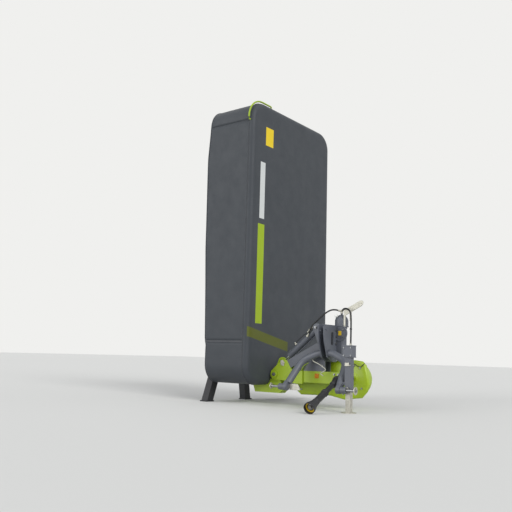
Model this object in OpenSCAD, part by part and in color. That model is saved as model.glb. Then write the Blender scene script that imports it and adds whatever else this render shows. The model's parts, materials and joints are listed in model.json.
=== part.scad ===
// Side-mounted disc mower, folded upright and parked on its own stands.
// Hitch frame: +X towards the tractor, +Y to the tractor's left, +Z up, with the
// ground point under the middle of the lower link pins at its zero.

/* [Hitch] */
// Distance between the shoulders of the lower link pins
link_span = 825; // [725:5:965]
// Diameter of the lower link pins
link_pin_d = 28; // [22:1:37]
// Length of a lower link pin outside its shoulder
link_pin_len = 118; // [100:1:140]
// Height of the lower link pins above the ground
link_z = 225; // [215:1:260]
// Height of the top link bore above the lower link pins
mast_h = 610; // [590:5:640]
// Diameter of the top link bore
top_bore_d = 25.4; // [19:0.1:32]
// Gap between the two mast cheeks
cheek_gap = 60; // [52:1:80]
// Thickness of a mast cheek
cheek_t = 12; // [8:1:16]
// Distance of the top link bore behind the lower link pins
top_bore_back = 205; // [180:5:225]
// Outer diameter of the bent frame tubes
frame_tube_d = 88; // [70:1:96]
// Width of a lower lug plate
lug_t = 24; // [16:1:30]
// Distance from the middle to the outside of a lower lug
lug_out = 350; // [330:1:370]

/* [Jack] */
// Outer width of the square jack sleeve
sleeve_w = 66; // [60:1:76]
// Wall of the jack sleeve
sleeve_wall = 6; // [4:1:8]
// Sideways place of the jack
jack_y = 410; // [405:1:430]
// Distance of the jack behind the lower link pins
jack_back = 62; // [55:1:75]
// Gap on each side between the sleeve and its leg
jack_gap = 0.8; // [0.5:0.1:3]
// Diameter of the jack's foot plate
jack_foot_d = 150; // [120:5:180]

/* [Swivel and lift] */
// Distance of the swivel axis behind the lower link pins
swivel_back = 500; // [480:5:520]
// Sideways place of the swivel axis
swivel_y = 60; // [50:5:70]
// Diameter of the swivel pin
swivel_d = 70; // [60:1:80]
// Distance of the lift cylinder's plane behind the lower link pins
lift_back = 400; // [395:1:405]
// Outer diameter of the lift cylinder's barrel
barrel_d = 76; // [60:1:84]
// Diameter of the lift cylinder's rod
rod_d = 40; // [32:1:45]
// Diameter of the lift cylinder's pins
lift_pin_d = 30; // [25:1:35]
// Sideways place of the upper lift pin
lift_top_y = -170; // [-180:5:-160]
// Height of the upper lift pin
lift_top_z = 872; // [860:1:880]

/* [Fold hinge] */
// Sideways place of the fold axis
fold_y = -705; // [-707:1:-700]
// Height of the fold axis
fold_z = 340; // [338:1:345]
// Diameter of the fold pin
fold_pin_d = 50; // [40:1:56]
// Distance between the insides of the two fork plates
fork_gap = 120; // [116:1:128]
// Thickness of a fork plate
fork_t = 20; // [16:1:24]
// Sideways place of the crank's pin, from the fold axis
crank_y = 65; // [60:1:70]
// Height of the crank's pin above the fold axis
crank_z = 145; // [140:1:150]
// Running clearance around pins and beside moving plates
run_gap = 0.5; // [0.3:0.1:1]

/* [Belt drive] */
// Thickness of the belt guard
guard_t = 130; // [100:5:140]
// Radius of the guard around the driving pulley
guard_r1 = 205; // [190:1:210]
// Radius of the guard around the driven pulley
guard_r2 = 145; // [130:1:150]
// Sideways place of the driving pulley
input_y = 200; // [190:1:210]
// Height of the driving pulley
input_z = 328; // [320:1:335]

/* [Drive shaft] */
// Length from the rear joint to the front yoke's end
pto_len = 690; // [670:5:710]
// Outer diameter of the drive shaft's guard tube
pto_tube_d = 74; // [68:1:80]
// Outer diameter of the guard bells
pto_bell_d = 118; // [110:1:124]
// Turn of the resting shaft away from straight ahead
pto_yaw = 4; // [2:0.5:6]

/* [Mower] */
// Length of the cover across the working width
cover_len = 3300; // [3280:10:3340]
// Height of the cover's lower end above the ground
cover_z = 220; // [215:1:225]
// Depth of the cover in the direction of travel
cover_depth = 1673; // [1650:1:1700]
// Distance of the cover's front face ahead of the lower link pins
cover_front = 106; // [100:1:110]
// Sideways place of the cover's top face
cover_top_y = -785; // [-790:1:-784]
// Height of the skirts
skirt_h = 612; // [600:1:640]
// Thickness of the cover and its stiffened seams
cover_t = 12; // [8:1:16]
// Corner radius at the cover's outer end
corner_r = 220; // [180:5:240]
// Radius of the cover's edge
edge_r = 36; // [25:1:45]
// Height of the seam above the lower apron
seam_z = 693; // [680:1:710]
// Distance of the cutter bar's axis behind the lower link pins
bar_back = 500; // [490:5:520]
// Number of cutting discs
disc_count = 7; // [7:1:7]
// Room from the last disc's axis to the cover's upper end
disc_room = 315; // [310:1:330]
// Height of the first disc's axis above the ground
disc_first_z = 625; // [620:1:630]
// Thickness of the cutter bar
bar_t = 66; // [56:1:72]
// Width of the cutter bar between its discs
bar_w = 210; // [190:5:230]
// Reach of a knife's tip from its disc's axis
knife_r = 262; // [255:1:268]
// Underside of the skids, sideways
skid_y = -1500; // [-1504:1:-1496]

/* [Parking legs] */
// Width of a parking leg
leg_w = 96; // [80:1:105]
// Depth of a parking leg
leg_d = 90; // [80:1:100]
// Height of the legs' hinge axes
leg_z = 328; // [325:1:332]

/* [Hidden] */
$fn = 48;

grey = "#5E616A";
lime = "#9AB31A";
pale = "#B9B7AC";
dark = "#2A2C30";
cloth = "#43464A";
steel = "#8A8D90";
eps = 0.3;

// Drive shaft: tilt at which the front bell rests on the ground
pto_back = 215;
pto_reach = norm([pto_len, pto_bell_d / 2]);
pto_tilt = asin(input_z / pto_reach) - atan(pto_bell_d / 2 / pto_len);

// Legs: table of [name, hinge x, foot x, hinge y]
leg_rows = [["front", -135, -15], ["rear", -675, -730]];
leg_y = skid_y + leg_d / 2 + 5;
function leg_lean(row) = atan((row[2] - row[1]) / leg_z);
leg_foot_h = 14;

// Row origin: middle of the whole machine on the ground
front_x = -pto_back + pto_len * cos(pto_tilt) * cos(pto_yaw)
    + pto_bell_d / 2 * sqrt(1 - pow(cos(pto_tilt) * cos(pto_yaw), 2));
rear_x = cover_front - cover_depth;
left_y = link_span / 2 + link_pin_len;
right_y = skid_y;
module place() {
    translate([-(front_x + rear_x) / 2, -(left_y + right_y) / 2, 0])
        children();
}

// Extrudes an outline drawn in Y and Z along X, from x0 to x1
module along_x(x0, x1) {
    translate([x0, 0, 0])
        rotate([90, 0, 90])
            linear_extrude(x1 - x0)
                children();
}
// Extrudes an outline drawn in X and Z along Y, from y0 to y1
module along_y(y0, y1) {
    translate([0, y1, 0])
        rotate([90, 0, 0])
            linear_extrude(y1 - y0)
                children();
}
module rod_x(x0, x1, y, z, d) {
    translate([x0, y, z])
        rotate([0, 90, 0])
            cylinder(h = x1 - x0, d = d);
}
module rod_y(y0, y1, x, z, d) {
    translate([x, y1, z])
        rotate([90, 0, 0])
            cylinder(h = y1 - y0, d = d);
}
module rod_z(z0, z1, x, y, d) {
    translate([x, y, z0])
        cylinder(h = z1 - z0, d = d);
}
module box(low, high) {
    translate(low)
        cube(high - low);
}

// Tube swept along a smooth route: rings square to the path, closed at both ends
function unit(v) = v / norm(v);
function heading(p, i) = unit(p[min(i + 1, len(p) - 1)] - p[max(i - 1, 0)]);
function side_of(t) = unit(cross(t, abs(t[2]) < 0.9 ? [0, 0, 1] : [1, 0, 0]));
function ring(p, i, r, sides) = let(t = heading(p, i), s = side_of(t), u = cross(t, s))
    [for (k = [0 : sides - 1]) p[i] + r * (cos(360 * k / sides) * s + sin(360 * k / sides) * u)];
module sweep(p, r, sides) {
    n = len(p);
    points = [for (i = [0 : n - 1]) each ring(p, i, r, sides)];
    walls = [for (i = [0 : n - 2], k = [0 : sides - 1]) let(next = (k + 1) % sides)
        [(i + 1) * sides + k, (i + 1) * sides + next, i * sides + next, i * sides + k]];
    first = [for (k = [0 : sides - 1]) k];
    last = [for (k = [sides - 1 : -1 : 0]) (n - 1) * sides + k];
    polyhedron(points, concat([first], [last], walls), 8);
}
// Quadratic bend through the corner points of a route, with step points on each
function bend(a, b, c, steps) = [for (k = [0 : steps]) let(t = k / steps)
    (1 - t) * (1 - t) * a + 2 * t * (1 - t) * b + t * t * c];

// Outline of a belt guard: two circles and the tangents that join them, in Y and Z
module two_circles(c1, r1, c2, r2) {
    d = norm(c2 - c1);
    base = atan2(c2[1] - c1[1], c2[0] - c1[0]);
    a = acos((r1 - r2) / d);
    function on(c, r, s) = c + r * [cos(base + s * a), sin(base + s * a)];
    translate(c1)
        circle(r1, $fn = 96);
    translate(c2)
        circle(r2, $fn = 96);
    polygon([on(c1, r1, 1), on(c2, r2, 1), on(c2, r2, -1), on(c1, r1, -1)]);
}

// Headstock
cheek_in = cheek_gap / 2;
cheek_out = cheek_in + cheek_t;
top_bore = [-top_bore_back, link_z + mast_h];
ear_t = 20;
ear_top_z = 862;
ear_low_z = 560;
ear_r = 62;
tower_back = -swivel_back + ear_r + 8;
module cheek_outline() {
    difference() {
        union() {
            polygon([[-168, 780], [-165, 872], [-190, 896], [tower_back, 896], [tower_back, 500],
                [-330, 500], [-238, 548], [-205, 640], [-178, 715]]);
            translate([-178, 780])
                circle(10);
        }
        translate(top_bore)
            circle(d = top_bore_d);
        translate([-328, 700])
            circle(9);
        translate([-328, 800])
            circle(9);
        translate([-337, 700])
            square([18, 100]);
    }
}
module mast_cheeks() color(grey) place() {
    for (s = [-1, 1])
        along_y(s * (cheek_in + cheek_t / 2) - cheek_t / 2, s * (cheek_in + cheek_t / 2) + cheek_t / 2)
            cheek_outline();
    box([tower_back - 10, -cheek_out, 520], [tower_back, cheek_out, 860]);
    for (z = [ear_low_z, ear_top_z])
        difference() {
            union() {
                rod_z(z, z + ear_t, -swivel_back, swivel_y, 2 * ear_r);
                box([-swivel_back, -cheek_out, z], [tower_back, swivel_y + ear_r, z + ear_t]);
            }
            rod_z(z - 1, z + ear_t + 1, -swivel_back, swivel_y, swivel_d + 2 * run_gap);
        }
}

tube_r = frame_tube_d / 2;
// Routes of the bent tubes, from the mast down to the lugs
tube_x = -275;
tube_z = 590;
lug_tilt = 24;
lug_arm = 58;
lug_mid = lug_out - lug_t;
lug_up = [-sin(lug_tilt), 0, cos(lug_tilt)];
function lug_point(s, reach) = [0, s * lug_mid, link_z] + reach * lug_up;
left_route = concat([[tube_x, -cheek_out - eps, tube_z]],
    bend([tube_x, -62, tube_z], [-262, -290, 600], lug_point(-1, lug_arm + 190), 9),
    [lug_point(-1, lug_arm + 60), lug_point(-1, lug_arm + eps)]);
post_side = jack_y - sleeve_w / 2 - tube_r - eps;
right_route = concat([[tube_x, cheek_out + eps, tube_z]],
    bend([tube_x, 62, tube_z], [-150, post_side + 5, 600], [-95, post_side, 440], 9),
    [lug_point(1, lug_arm + 60), lug_point(1, lug_arm + eps)]);
module a_frame() color(grey) place() {
    sweep(left_route, tube_r, 20);
    sweep(right_route, tube_r, 20);
}

module lower_lugs() color(grey) place() {
    for (s = [-1, 1])
        translate([0, s * lug_mid, link_z])
            difference() {
                union() {
                    rod_y(-lug_t, lug_t, 0, 0, 78);
                    rotate([0, -lug_tilt, 0])
                        translate([-34, -lug_t, 0])
                            cube([68, 2 * lug_t, lug_arm]);
                }
                rod_y(-lug_t - 1, lug_t + 1, 0, 0, link_pin_d + 2 * run_gap);
            }
}

module link_pins() color(steel) place() {
    for (s = [-1, 1]) {
        inner = s * (lug_out - 2 * lug_t - 8);
        shoulder = s * link_span / 2;
        tip = s * (link_span / 2 + link_pin_len);
        rod_y(min(inner, tip), max(inner, tip), 0, link_z, link_pin_d);
        rod_y(min(s * (lug_out + eps), shoulder), max(s * (lug_out + eps), shoulder), 0, link_z, 46);
    }
}

dome_d = 124;
module swivel_pin() color(grey) place() {
    rod_z(ear_low_z - 14, ear_top_z + ear_t, -swivel_back, swivel_y, swivel_d);
    rod_z(ear_low_z - 28, ear_low_z - eps, -swivel_back, swivel_y, swivel_d + 26);
    translate([-swivel_back, swivel_y, ear_top_z + ear_t + eps])
        rotate_extrude()
            intersection() {
                union() {
                    square([dome_d / 2, 70]);
                    translate([0, 70])
                        circle(dome_d / 2);
                }
                square([dome_d, 140]);
            }
}

jack_x = -jack_back;
sleeve_low = 215;
sleeve_high = 660;
jack_leg_w = sleeve_w - 2 * sleeve_wall - 2 * jack_gap;
module jack_sleeve() color(grey) place() {
    half = sleeve_w / 2;
    difference() {
        union() {
            box([jack_x - half, jack_y - half, sleeve_low], [jack_x + half, jack_y + half, sleeve_high]);
            box([jack_x - half - 8, jack_y - half - 20, 555], [jack_x + half + 8, jack_y + half + 20, sleeve_high + 12]);
        }
        box([jack_x - half + sleeve_wall, jack_y - half + sleeve_wall, sleeve_low - 1],
            [jack_x + half - sleeve_wall, jack_y + half - sleeve_wall, sleeve_high - 8]);
    }
}
module jack_leg() color(pale) place() {
    half = jack_leg_w / 2;
    box([jack_x - half, jack_y - half, 6], [jack_x + half, jack_y + half, 420]);
    rod_z(0, 8, jack_x, jack_y, jack_foot_d);
}

carrier_x = -swivel_back + 60;
module hose_carrier() color(pale) place() {
    foot = ear_top_z + ear_t + eps;
    along_x(carrier_x - 12, carrier_x)
        polygon([[100, foot], [120, foot], [120, 1000], [330, 1118], [340, 1140], [325, 1160], [300, 1158],
            [100, 1045]]);
}

// Carrier that bears the mower: beam, fork, mast and belt guard
lift_x = -lift_back;
fork_in = fork_gap / 2;
fork_out = fork_in + fork_t;
beam_low = 266;
beam_high = 392;
beam_end_y = -450;
module main_beam() color(lime) place() {
    difference() {
        box([lift_x - fork_in, beam_end_y, beam_low], [lift_x + fork_in, swivel_y + 90, beam_high]);
        box([lift_x - fork_in + 10, beam_end_y - 1, beam_low + 10], [lift_x + fork_in - 10, swivel_y + 80, beam_high - 10]);
    }
}
module fork_outline() {
    difference() {
        union() {
            translate([fold_y, fold_z])
                circle(62);
            polygon([[fold_y, fold_z - 62], [-560, 276], [-520, beam_low - 16], [-330, beam_low - 16], [-330, beam_high],
                [-470, beam_high], [-540, 500], [-610, 508], [fold_y - 40, fold_z + 47]]);
        }
        translate([fold_y, fold_z])
            circle(d = fold_pin_d + 2 * run_gap);
    }
}
module fork_plates() color(lime) place() {
    along_x(lift_x + fork_in, lift_x + fork_out)
        fork_outline();
    along_x(lift_x - fork_out, lift_x - fork_in)
        fork_outline();
    rod_x(lift_x - fork_out - 10, lift_x + fork_out + 10, fold_y, fold_z, fold_pin_d);
    for (s = [-1, 1])
        rod_x(lift_x + s * (fork_out + 11) - 6, lift_x + s * (fork_out + 11) + 6, fold_y, fold_z, fold_pin_d + 30);
}

mast_in = 42;
mast_out = mast_in + 16;
mast_y = -48;
module mast_outline() {
    difference() {
        union() {
            translate([lift_top_y, lift_top_z])
                circle(44);
            polygon([[lift_top_y - 44, lift_top_z], [lift_top_y, lift_top_z + 44], [mast_y, 846], [mast_y, beam_high],
                [-330, beam_high], [-200, 560], [-150, 700]]);
        }
        translate([lift_top_y, lift_top_z])
            circle(d = lift_pin_d + 2 * run_gap);
    }
}
module mast_plates() color(grey) place() {
    along_x(lift_x + mast_in, lift_x + mast_out)
        mast_outline();
    along_x(lift_x - mast_out, lift_x - mast_in)
        mast_outline();
    rod_x(lift_x - mast_out - 10, lift_x + mast_out + 10, lift_top_y, lift_top_z, lift_pin_d);
}

module swivel_sleeve() color(grey) place() {
    difference() {
        union() {
            rod_z(ear_low_z + ear_t + 1, ear_top_z - 1, -swivel_back, swivel_y, 112);
            box([-swivel_back, mast_y - 70, 600], [lift_x - mast_out, swivel_y, 820]);
        }
        rod_z(ear_low_z, ear_top_z + ear_t, -swivel_back, swivel_y, swivel_d + 2 * run_gap);
    }
}

module swing_strut() color(grey) place() {
    along_x(lift_x + mast_out, lift_x + mast_out + 20)
        polygon([[-488, 420], [-120, 607], [-105, 650], [-140, 703], [-540, 500]]);
}

guard_x = lift_x - fork_out - 12;
guard_c1 = [input_y, input_z];
guard_c2 = [-415, 262];
module belt_guard() color(lime) place() {
    along_x(guard_x - guard_t + 22, guard_x - 22)
        two_circles(guard_c1, guard_r1, guard_c2, guard_r2);
    along_x(guard_x - 22, guard_x)
        two_circles(guard_c1, guard_r1 - 24, guard_c2, guard_r2 - 24);
    along_x(guard_x - guard_t, guard_x - guard_t + 22)
        two_circles(guard_c1, guard_r1 - 24, guard_c2, guard_r2 - 24);
    box([guard_x, -300, 290], [lift_x - fork_in, -220, 370]);
}

cross_d = 18;
hub_half = 23.5;
module input_stub() color(dark) place() {
    rod_x(guard_x + eps, -pto_back - 40, input_y, input_z, 62);
    rod_x(-pto_back - 60, -pto_back - 42, input_y, input_z, 96);
    translate([-pto_back, input_y, input_z])
        rotate([0, 0, pto_yaw]) {
            for (s = [-1, 1])
                along_y(s * (hub_half + 6) - 5, s * (hub_half + 6) + 5) {
                    circle(22);
                    translate([-46, -22])
                        square([46, 44]);
                }
            rod_y(-hub_half - 14, hub_half + 14, 0, 0, cross_d);
        }
}

module reflector() color("orange") place() {
    box([lift_x + fork_in + eps, -176, 318], [lift_x + fork_in + 6, -126, 368]);
}

// Lift cylinder
lift_top = [lift_top_y, lift_top_z];
lift_eye = [fold_y + crank_y, fold_z + crank_z];
lift_len = norm(lift_eye - lift_top);
lift_angle = atan2(lift_eye[1] - lift_top[1], lift_eye[0] - lift_top[0]);
module lift_frame() {
    translate([lift_x, lift_top_y, lift_top_z])
        rotate([lift_angle, 0, 0])
            children();
}
barrel_len = lift_len - 110;
module lift_barrel() color(pale) place() lift_frame() {
    difference() {
        union() {
            rod_x(1 - mast_in, mast_in - 1, 0, 0, 64);
            rod_y(25, barrel_len, 0, 0, barrel_d);
            rod_y(barrel_len - 50, barrel_len, 0, 0, barrel_d + 8);
        }
        rod_x(-mast_in, mast_in, 0, 0, lift_pin_d + 2 * run_gap);
        rod_y(90, barrel_len + 1, 0, 0, rod_d + 2 * run_gap);
    }
    rod_y(60, barrel_len - 60, 0, barrel_d / 2 + 9, 14);
    for (y = [70, barrel_len - 70])
        rod_z(barrel_d / 2 - 4, barrel_d / 2 + 10, 0, y, 16);
}
module lift_rod() color(steel) place() lift_frame() {
    rod_y(330, lift_len - 20, 0, 0, rod_d);
    difference() {
        rod_x(-17, 17, lift_len, 0, 68);
        rod_x(-18, 18, lift_len, 0, lift_pin_d - 2);
    }
    rod_x(-46, 46, lift_len, 0, lift_pin_d);
}

// Mower side of the hinge
arm_half = fork_in - 4;
module hinge_arm() color(lime) place() {
    difference() {
        union() {
            rod_x(lift_x - arm_half, lift_x + arm_half, fold_y, fold_z, 104);
            along_x(lift_x - arm_half, lift_x + arm_half)
                polygon([[fold_y - 45, fold_z - 26], [-768, plate_in_z], [-1000, plate_in_z], [-1030, 210], [-1000, 130], [-650, 130],
                    [-610, 170], [fold_y + 50, fold_z - 12]]);
        }
        rod_x(lift_x - arm_half - 1, lift_x + arm_half + 1, fold_y, fold_z, fold_pin_d + 2 * run_gap);
    }
}
// Slot that takes up the rod eye's drift while the mower folds
slot_len = 58;
slot_play = 13;
slot_in = norm([crank_y, crank_z]) - slot_len;
crank_w = 100;
module crank_plates() color(lime) place() {
    for (s = [-1, 1])
        translate([lift_x + s * 28, fold_y, fold_z])
            rotate([atan2(crank_z, crank_y), 0, 0])
                difference() {
                    union() {
                        translate([-7.5, 52 + eps, -crank_w / 2])
                            cube([15, slot_in + slot_len - 52, crank_w]);
                        rod_x(-7.5, 7.5, slot_in + slot_len, 0, crank_w);
                    }
                    for (y = [slot_in, slot_in + slot_len], z = [-slot_play, slot_play])
                        rod_x(-9, 9, y, z, lift_pin_d + 3);
                    translate([-9, slot_in, -lift_pin_d / 2 - slot_play - 1.5])
                        cube([18, slot_len, lift_pin_d + 2 * slot_play + 3]);
                    translate([-9, slot_in - lift_pin_d / 2 - 1.5, -slot_play])
                        cube([18, slot_len + lift_pin_d + 3, 2 * slot_play]);
                }
}

// Mower frame
bar_x = -bar_back;
bar_low = skid_y + 10;
bar_top = bar_low + bar_t;
beam_y = -950;
plate_in_z = 285;
plate_out_z = cover_z + cover_len - 42;
module frame_beam() color(lime) place() {
    difference() {
        box([bar_x - 50, beam_y - 50, plate_in_z + 14], [bar_x + 50, beam_y + 50, plate_out_z]);
        box([bar_x - 42, beam_y - 42, plate_in_z], [bar_x + 42, beam_y + 42, plate_out_z + 1]);
    }
}
module end_plate_outline() {
    polygon([[bar_x - 120, beam_y + 80], [bar_x + 160, beam_y + 80], [bar_x + 160, beam_y - 80],
        [bar_x + 110, bar_low], [bar_x - 110, bar_low], [bar_x - 160, beam_y - 120]]);
}
module end_plates() color(lime) place() {
    translate([0, 0, plate_in_z])
        linear_extrude(14)
            end_plate_outline();
    translate([0, 0, plate_out_z])
        linear_extrude(14)
            end_plate_outline();
}
disc_pitch = (cover_z + cover_len - disc_room - disc_first_z) / (disc_count - 1);
function disc_z(i) = disc_first_z + i * disc_pitch;
module bar_housing() color(dark) place() {
    along_y(bar_low + eps, bar_top) {
        translate([bar_x - bar_w / 2, plate_in_z + 14])
            square([bar_w, plate_out_z - plate_in_z - 14]);
        for (i = [0 : disc_count - 1])
            translate([bar_x + 30, disc_z(i)])
                circle(125);
    }
}
module bar_skids() color(steel) place() {
    along_y(skid_y, bar_low)
        for (i = [0 : disc_count - 1])
            translate([bar_x + 20, disc_z(i)])
                difference() {
                    circle(150);
                    translate([-300, -160])
                        square([170, 320]);
                }
}
drum_h = 120;
module gearbox() color(lime) place() {
    box([bar_x - 130, -1120, disc_first_z - 130], [bar_x + 130, beam_y - 50 - eps, disc_first_z + 130]);
    rod_y(bar_top + eps + 52 + drum_h + run_gap, -1120, bar_x + 30, disc_first_z, 60);
}
rail_d = 42;
rail_y = cover_top_y - cover_t - rail_d / 2 - eps;
rail_front_x = cover_front - 120;
rail_rear_x = rear_x + 120;
rail_ends = 150;
cross_d2 = 34;
module rails() color(dark) place() {
    for (x = [rail_front_x, rail_rear_x])
        rod_z(cover_z + rail_ends, cover_z + cover_len - rail_ends, x, rail_y, rail_d);
}
cross_count = 5;
cross_low_z = 420;
cross_high_z = cover_z + cover_len - 190;
cross_z = [for (i = [0 : cross_count - 1]) cross_low_z + i * (cross_high_z - cross_low_z) / (cross_count - 1)];
module cross_rails() color(dark) place() {
    for (z = cross_z) {
        rod_x(rail_rear_x + rail_d / 2 + eps, rail_front_x - rail_d / 2 - eps, rail_y, z, cross_d2);
        box([bar_x - 20, beam_y + 50 + eps, z - 14], [bar_x + 20, rail_y, z + 14]);
    }
}

// Cover: a rounded box, open on the cutting side
module rounded_box(inset, drop) {
    x0 = rear_x + inset;
    x1 = cover_front - inset;
    z0 = cover_z + inset;
    z1 = cover_z + cover_len - inset;
    y1 = cover_top_y - inset;
    r = corner_r - inset;
    e = edge_r - inset;
    hull()
        for (x = [x0 + r, x1 - r], z = [z0 + r, z1 - r])
            translate([x, y1, z])
                rotate([90, 0, 0]) {
                    translate([0, 0, e])
                        cylinder(h = skirt_h - e - inset + drop, r = r, $fn = 32);
                    cylinder(h = 1, r = r - e, $fn = 32);
                    translate([0, 0, e * 0.3])
                        cylinder(h = 1, r = r - e * 0.3, $fn = 32);
                }
}
module cover_shell() {
    difference() {
        rounded_box(0, 0);
        rounded_box(cover_t, 20);
    }
}
tray_y = cover_top_y - edge_r - 4;
free_y = cover_top_y - skirt_h;
outer_z = cover_z + cover_len - corner_r - 30;
module cover_top() color(cloth) place() {
    difference() {
        intersection() {
            cover_shell();
            box([rear_x - 10, tray_y, 0], [cover_front + 10, 0, 4000]);
        }
        box([lift_x - 130, tray_y - 1, 0], [lift_x + 130, 0, 300]);
    }
}
module skirt_front() color(cloth) place() {
    intersection() {
        cover_shell();
        box([cover_front - 60, free_y, seam_z + eps], [cover_front + 10, tray_y - eps, outer_z - eps]);
    }
}
module skirt_rear() color(cloth) place() {
    intersection() {
        cover_shell();
        box([rear_x - 10, free_y, seam_z + eps], [rear_x + 60, tray_y - eps, outer_z - eps]);
    }
}
module skirt_outer() color(cloth) place() {
    intersection() {
        cover_shell();
        box([rear_x - 10, free_y, outer_z], [cover_front + 10, tray_y - eps, 4000]);
    }
}
module skirt_inner() color(cloth) place() {
    difference() {
        intersection() {
            cover_shell();
            box([rear_x - 10, free_y, 0], [cover_front + 10, tray_y - eps, seam_z]);
        }
        box([-860, free_y - 1, 0], [-110, 0, 400]);
    }
}
handle_y = -838;
handle_out = 25;
module cover_handle() color(lime) place() {
    x_mid = cover_front - corner_r;
    z_mid = cover_z + cover_len - corner_r;
    r = corner_r + handle_out;
    route = concat([[cover_front + 2, handle_y, z_mid - 30], [cover_front + 16, handle_y, z_mid - 27]],
        [for (k = [0 : 8]) let(a = 90 * k / 8) [x_mid + r * cos(a), handle_y, z_mid + r * sin(a)]],
        [[-280, handle_y, z_mid + r], [-297, handle_y, z_mid + r - 9], [-300, handle_y, z_mid + corner_r + 2]]);
    sweep(route, 10, 10);
}

leg_pin_d = 36;
tube_low_y = leg_y + leg_d / 2 + 5;
module leg_bracket() color(dark) place() {
    box([leg_rows[1][1] - 45, tube_low_y, plate_in_z + 14], [leg_rows[0][1] + 45, tube_low_y + 60, plate_in_z + 70]);
    for (row = leg_rows) {
        rod_y(leg_y - leg_d / 2 - 3, tube_low_y, row[1], leg_z, leg_pin_d);
    }
}

leg_boss_d = leg_w + 12;
module one_leg(row) {
    lean = leg_lean(row);
    toe = row[2] - row[1];
    half = leg_w / 2 / cos(lean);
    low = leg_foot_h / 2 - leg_z;
    low_x = -low * tan(lean);
    translate([row[1], leg_y, leg_z]) {
        along_y(-leg_d / 2, leg_d / 2)
            difference() {
                union() {
                    circle(d = leg_boss_d);
                    polygon([[-half, 0], [half, 0], [low_x + half, low], [low_x - half, low]]);
                }
                circle(d = leg_pin_d + 2 * run_gap);
            }
        translate([toe - leg_w * 0.7, -leg_d / 2 - 4, -leg_z])
            cube([leg_w * 1.4, leg_d + 8, leg_foot_h]);
    }
}
module leg_front() color(dark) place() one_leg(leg_rows[0]);
module leg_rear() color(dark) place() one_leg(leg_rows[1]);

// Cutting discs: oval plates with two knives, each a quarter turn from the next
module one_disc(i) {
    phase = i % 2 == 0 ? 0 : 90;
    translate([bar_x + 30, bar_top + eps, disc_z(i)])
        rotate([0, phase, 0]) {
            rod_y(0, 22, 0, 0, 170);
            intersection() {
                rotate([-90, 0, 0])
                    rotate_extrude($fn = 64)
                        polygon([[0, 14], [196, 14], [196, 20], [150, 34], [90, 52], [0, 52]]);
                translate([-200, 0, -140])
                    cube([400, 60, 280]);
            }
            for (s = [-1, 1])
                translate([s * (knife_r - 55) - 55, 9, -24])
                    cube([110, 5, 48]);
            if (i == 0 || i == disc_count - 1)
                translate([0, 52, 0])
                    rotate([-90, 0, 0])
                        cylinder(h = 120, r1 = 130, r2 = 105);
        }
}
module disc_1() color(steel) place() one_disc(0);
module disc_2() color(steel) place() one_disc(1);
module disc_3() color(steel) place() one_disc(2);
module disc_4() color(steel) place() one_disc(3);
module disc_5() color(steel) place() one_disc(4);
module disc_6() color(steel) place() one_disc(5);
module disc_7() color(steel) place() one_disc(6);

// Drive shaft, drawn along X from its rear joint and then tilted to the ground
module pto_frame() {
    translate([-pto_back, input_y, input_z])
        rotate([0, 0, pto_yaw])
            rotate([0, pto_tilt, 0])
                children();
}
inner_tube_end = 480;
module pto_joint() color(dark) place() pto_frame() {
    difference() {
        rod_y(-hub_half, hub_half, 0, 0, 44);
        rod_y(-hub_half - 1, hub_half + 1, 0, 0, cross_d + 2 * run_gap);
    }
    rod_x(cross_d, 60, 0, 0, 42);
    translate([40, 0, 0])
        rotate([0, 90, 0])
            cylinder(h = 120, d1 = pto_bell_d, d2 = pto_tube_d);
    rod_x(160, inner_tube_end, 0, 0, pto_tube_d);
}
module pto_front() color(dark) place() pto_frame() {
    difference() {
        union() {
            rod_x(330, pto_len - 150, 0, 0, pto_tube_d + 12);
            translate([pto_len - 150, 0, 0])
                rotate([0, 90, 0])
                    cylinder(h = 120, d1 = pto_tube_d + 12, d2 = pto_bell_d);
            rod_x(pto_len - 30, pto_len, 0, 0, pto_bell_d);
        }
        rod_x(329, inner_tube_end + 20, 0, 0, pto_tube_d + 3 * run_gap);
    }
}

mast_cheeks();
a_frame();
lower_lugs();
link_pins();
swivel_pin();
jack_sleeve();
hose_carrier();
jack_leg();
main_beam();
fork_plates();
mast_plates();
swing_strut();
swivel_sleeve();
belt_guard();
input_stub();
reflector();
lift_barrel();
lift_rod();
hinge_arm();
crank_plates();
frame_beam();
end_plates();
bar_housing();
bar_skids();
gearbox();
rails();
cross_rails();
cover_top();
skirt_front();
skirt_rear();
skirt_outer();
skirt_inner();
cover_handle();
leg_bracket();
disc_1();
disc_2();
disc_3();
disc_4();
disc_5();
disc_6();
disc_7();
leg_front();
leg_rear();
pto_joint();
pto_front();
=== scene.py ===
# %% [markdown]
# # A disc mower, folded up for parking
# The machine is a side-mounted disc mower: a hitch frame for a tractor, a swinging carrier
# with a belt guard, and a mower unit that is folded upright under its cloth cover. The packed
# model is the fixed frame. This script gives it its finishes, its soft parts, its small parts,
# and closer forms for a few of its pieces.

import json
import math

import bmesh
import bpy
import numpy as np
from mathutils import Matrix, Vector, noise


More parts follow.
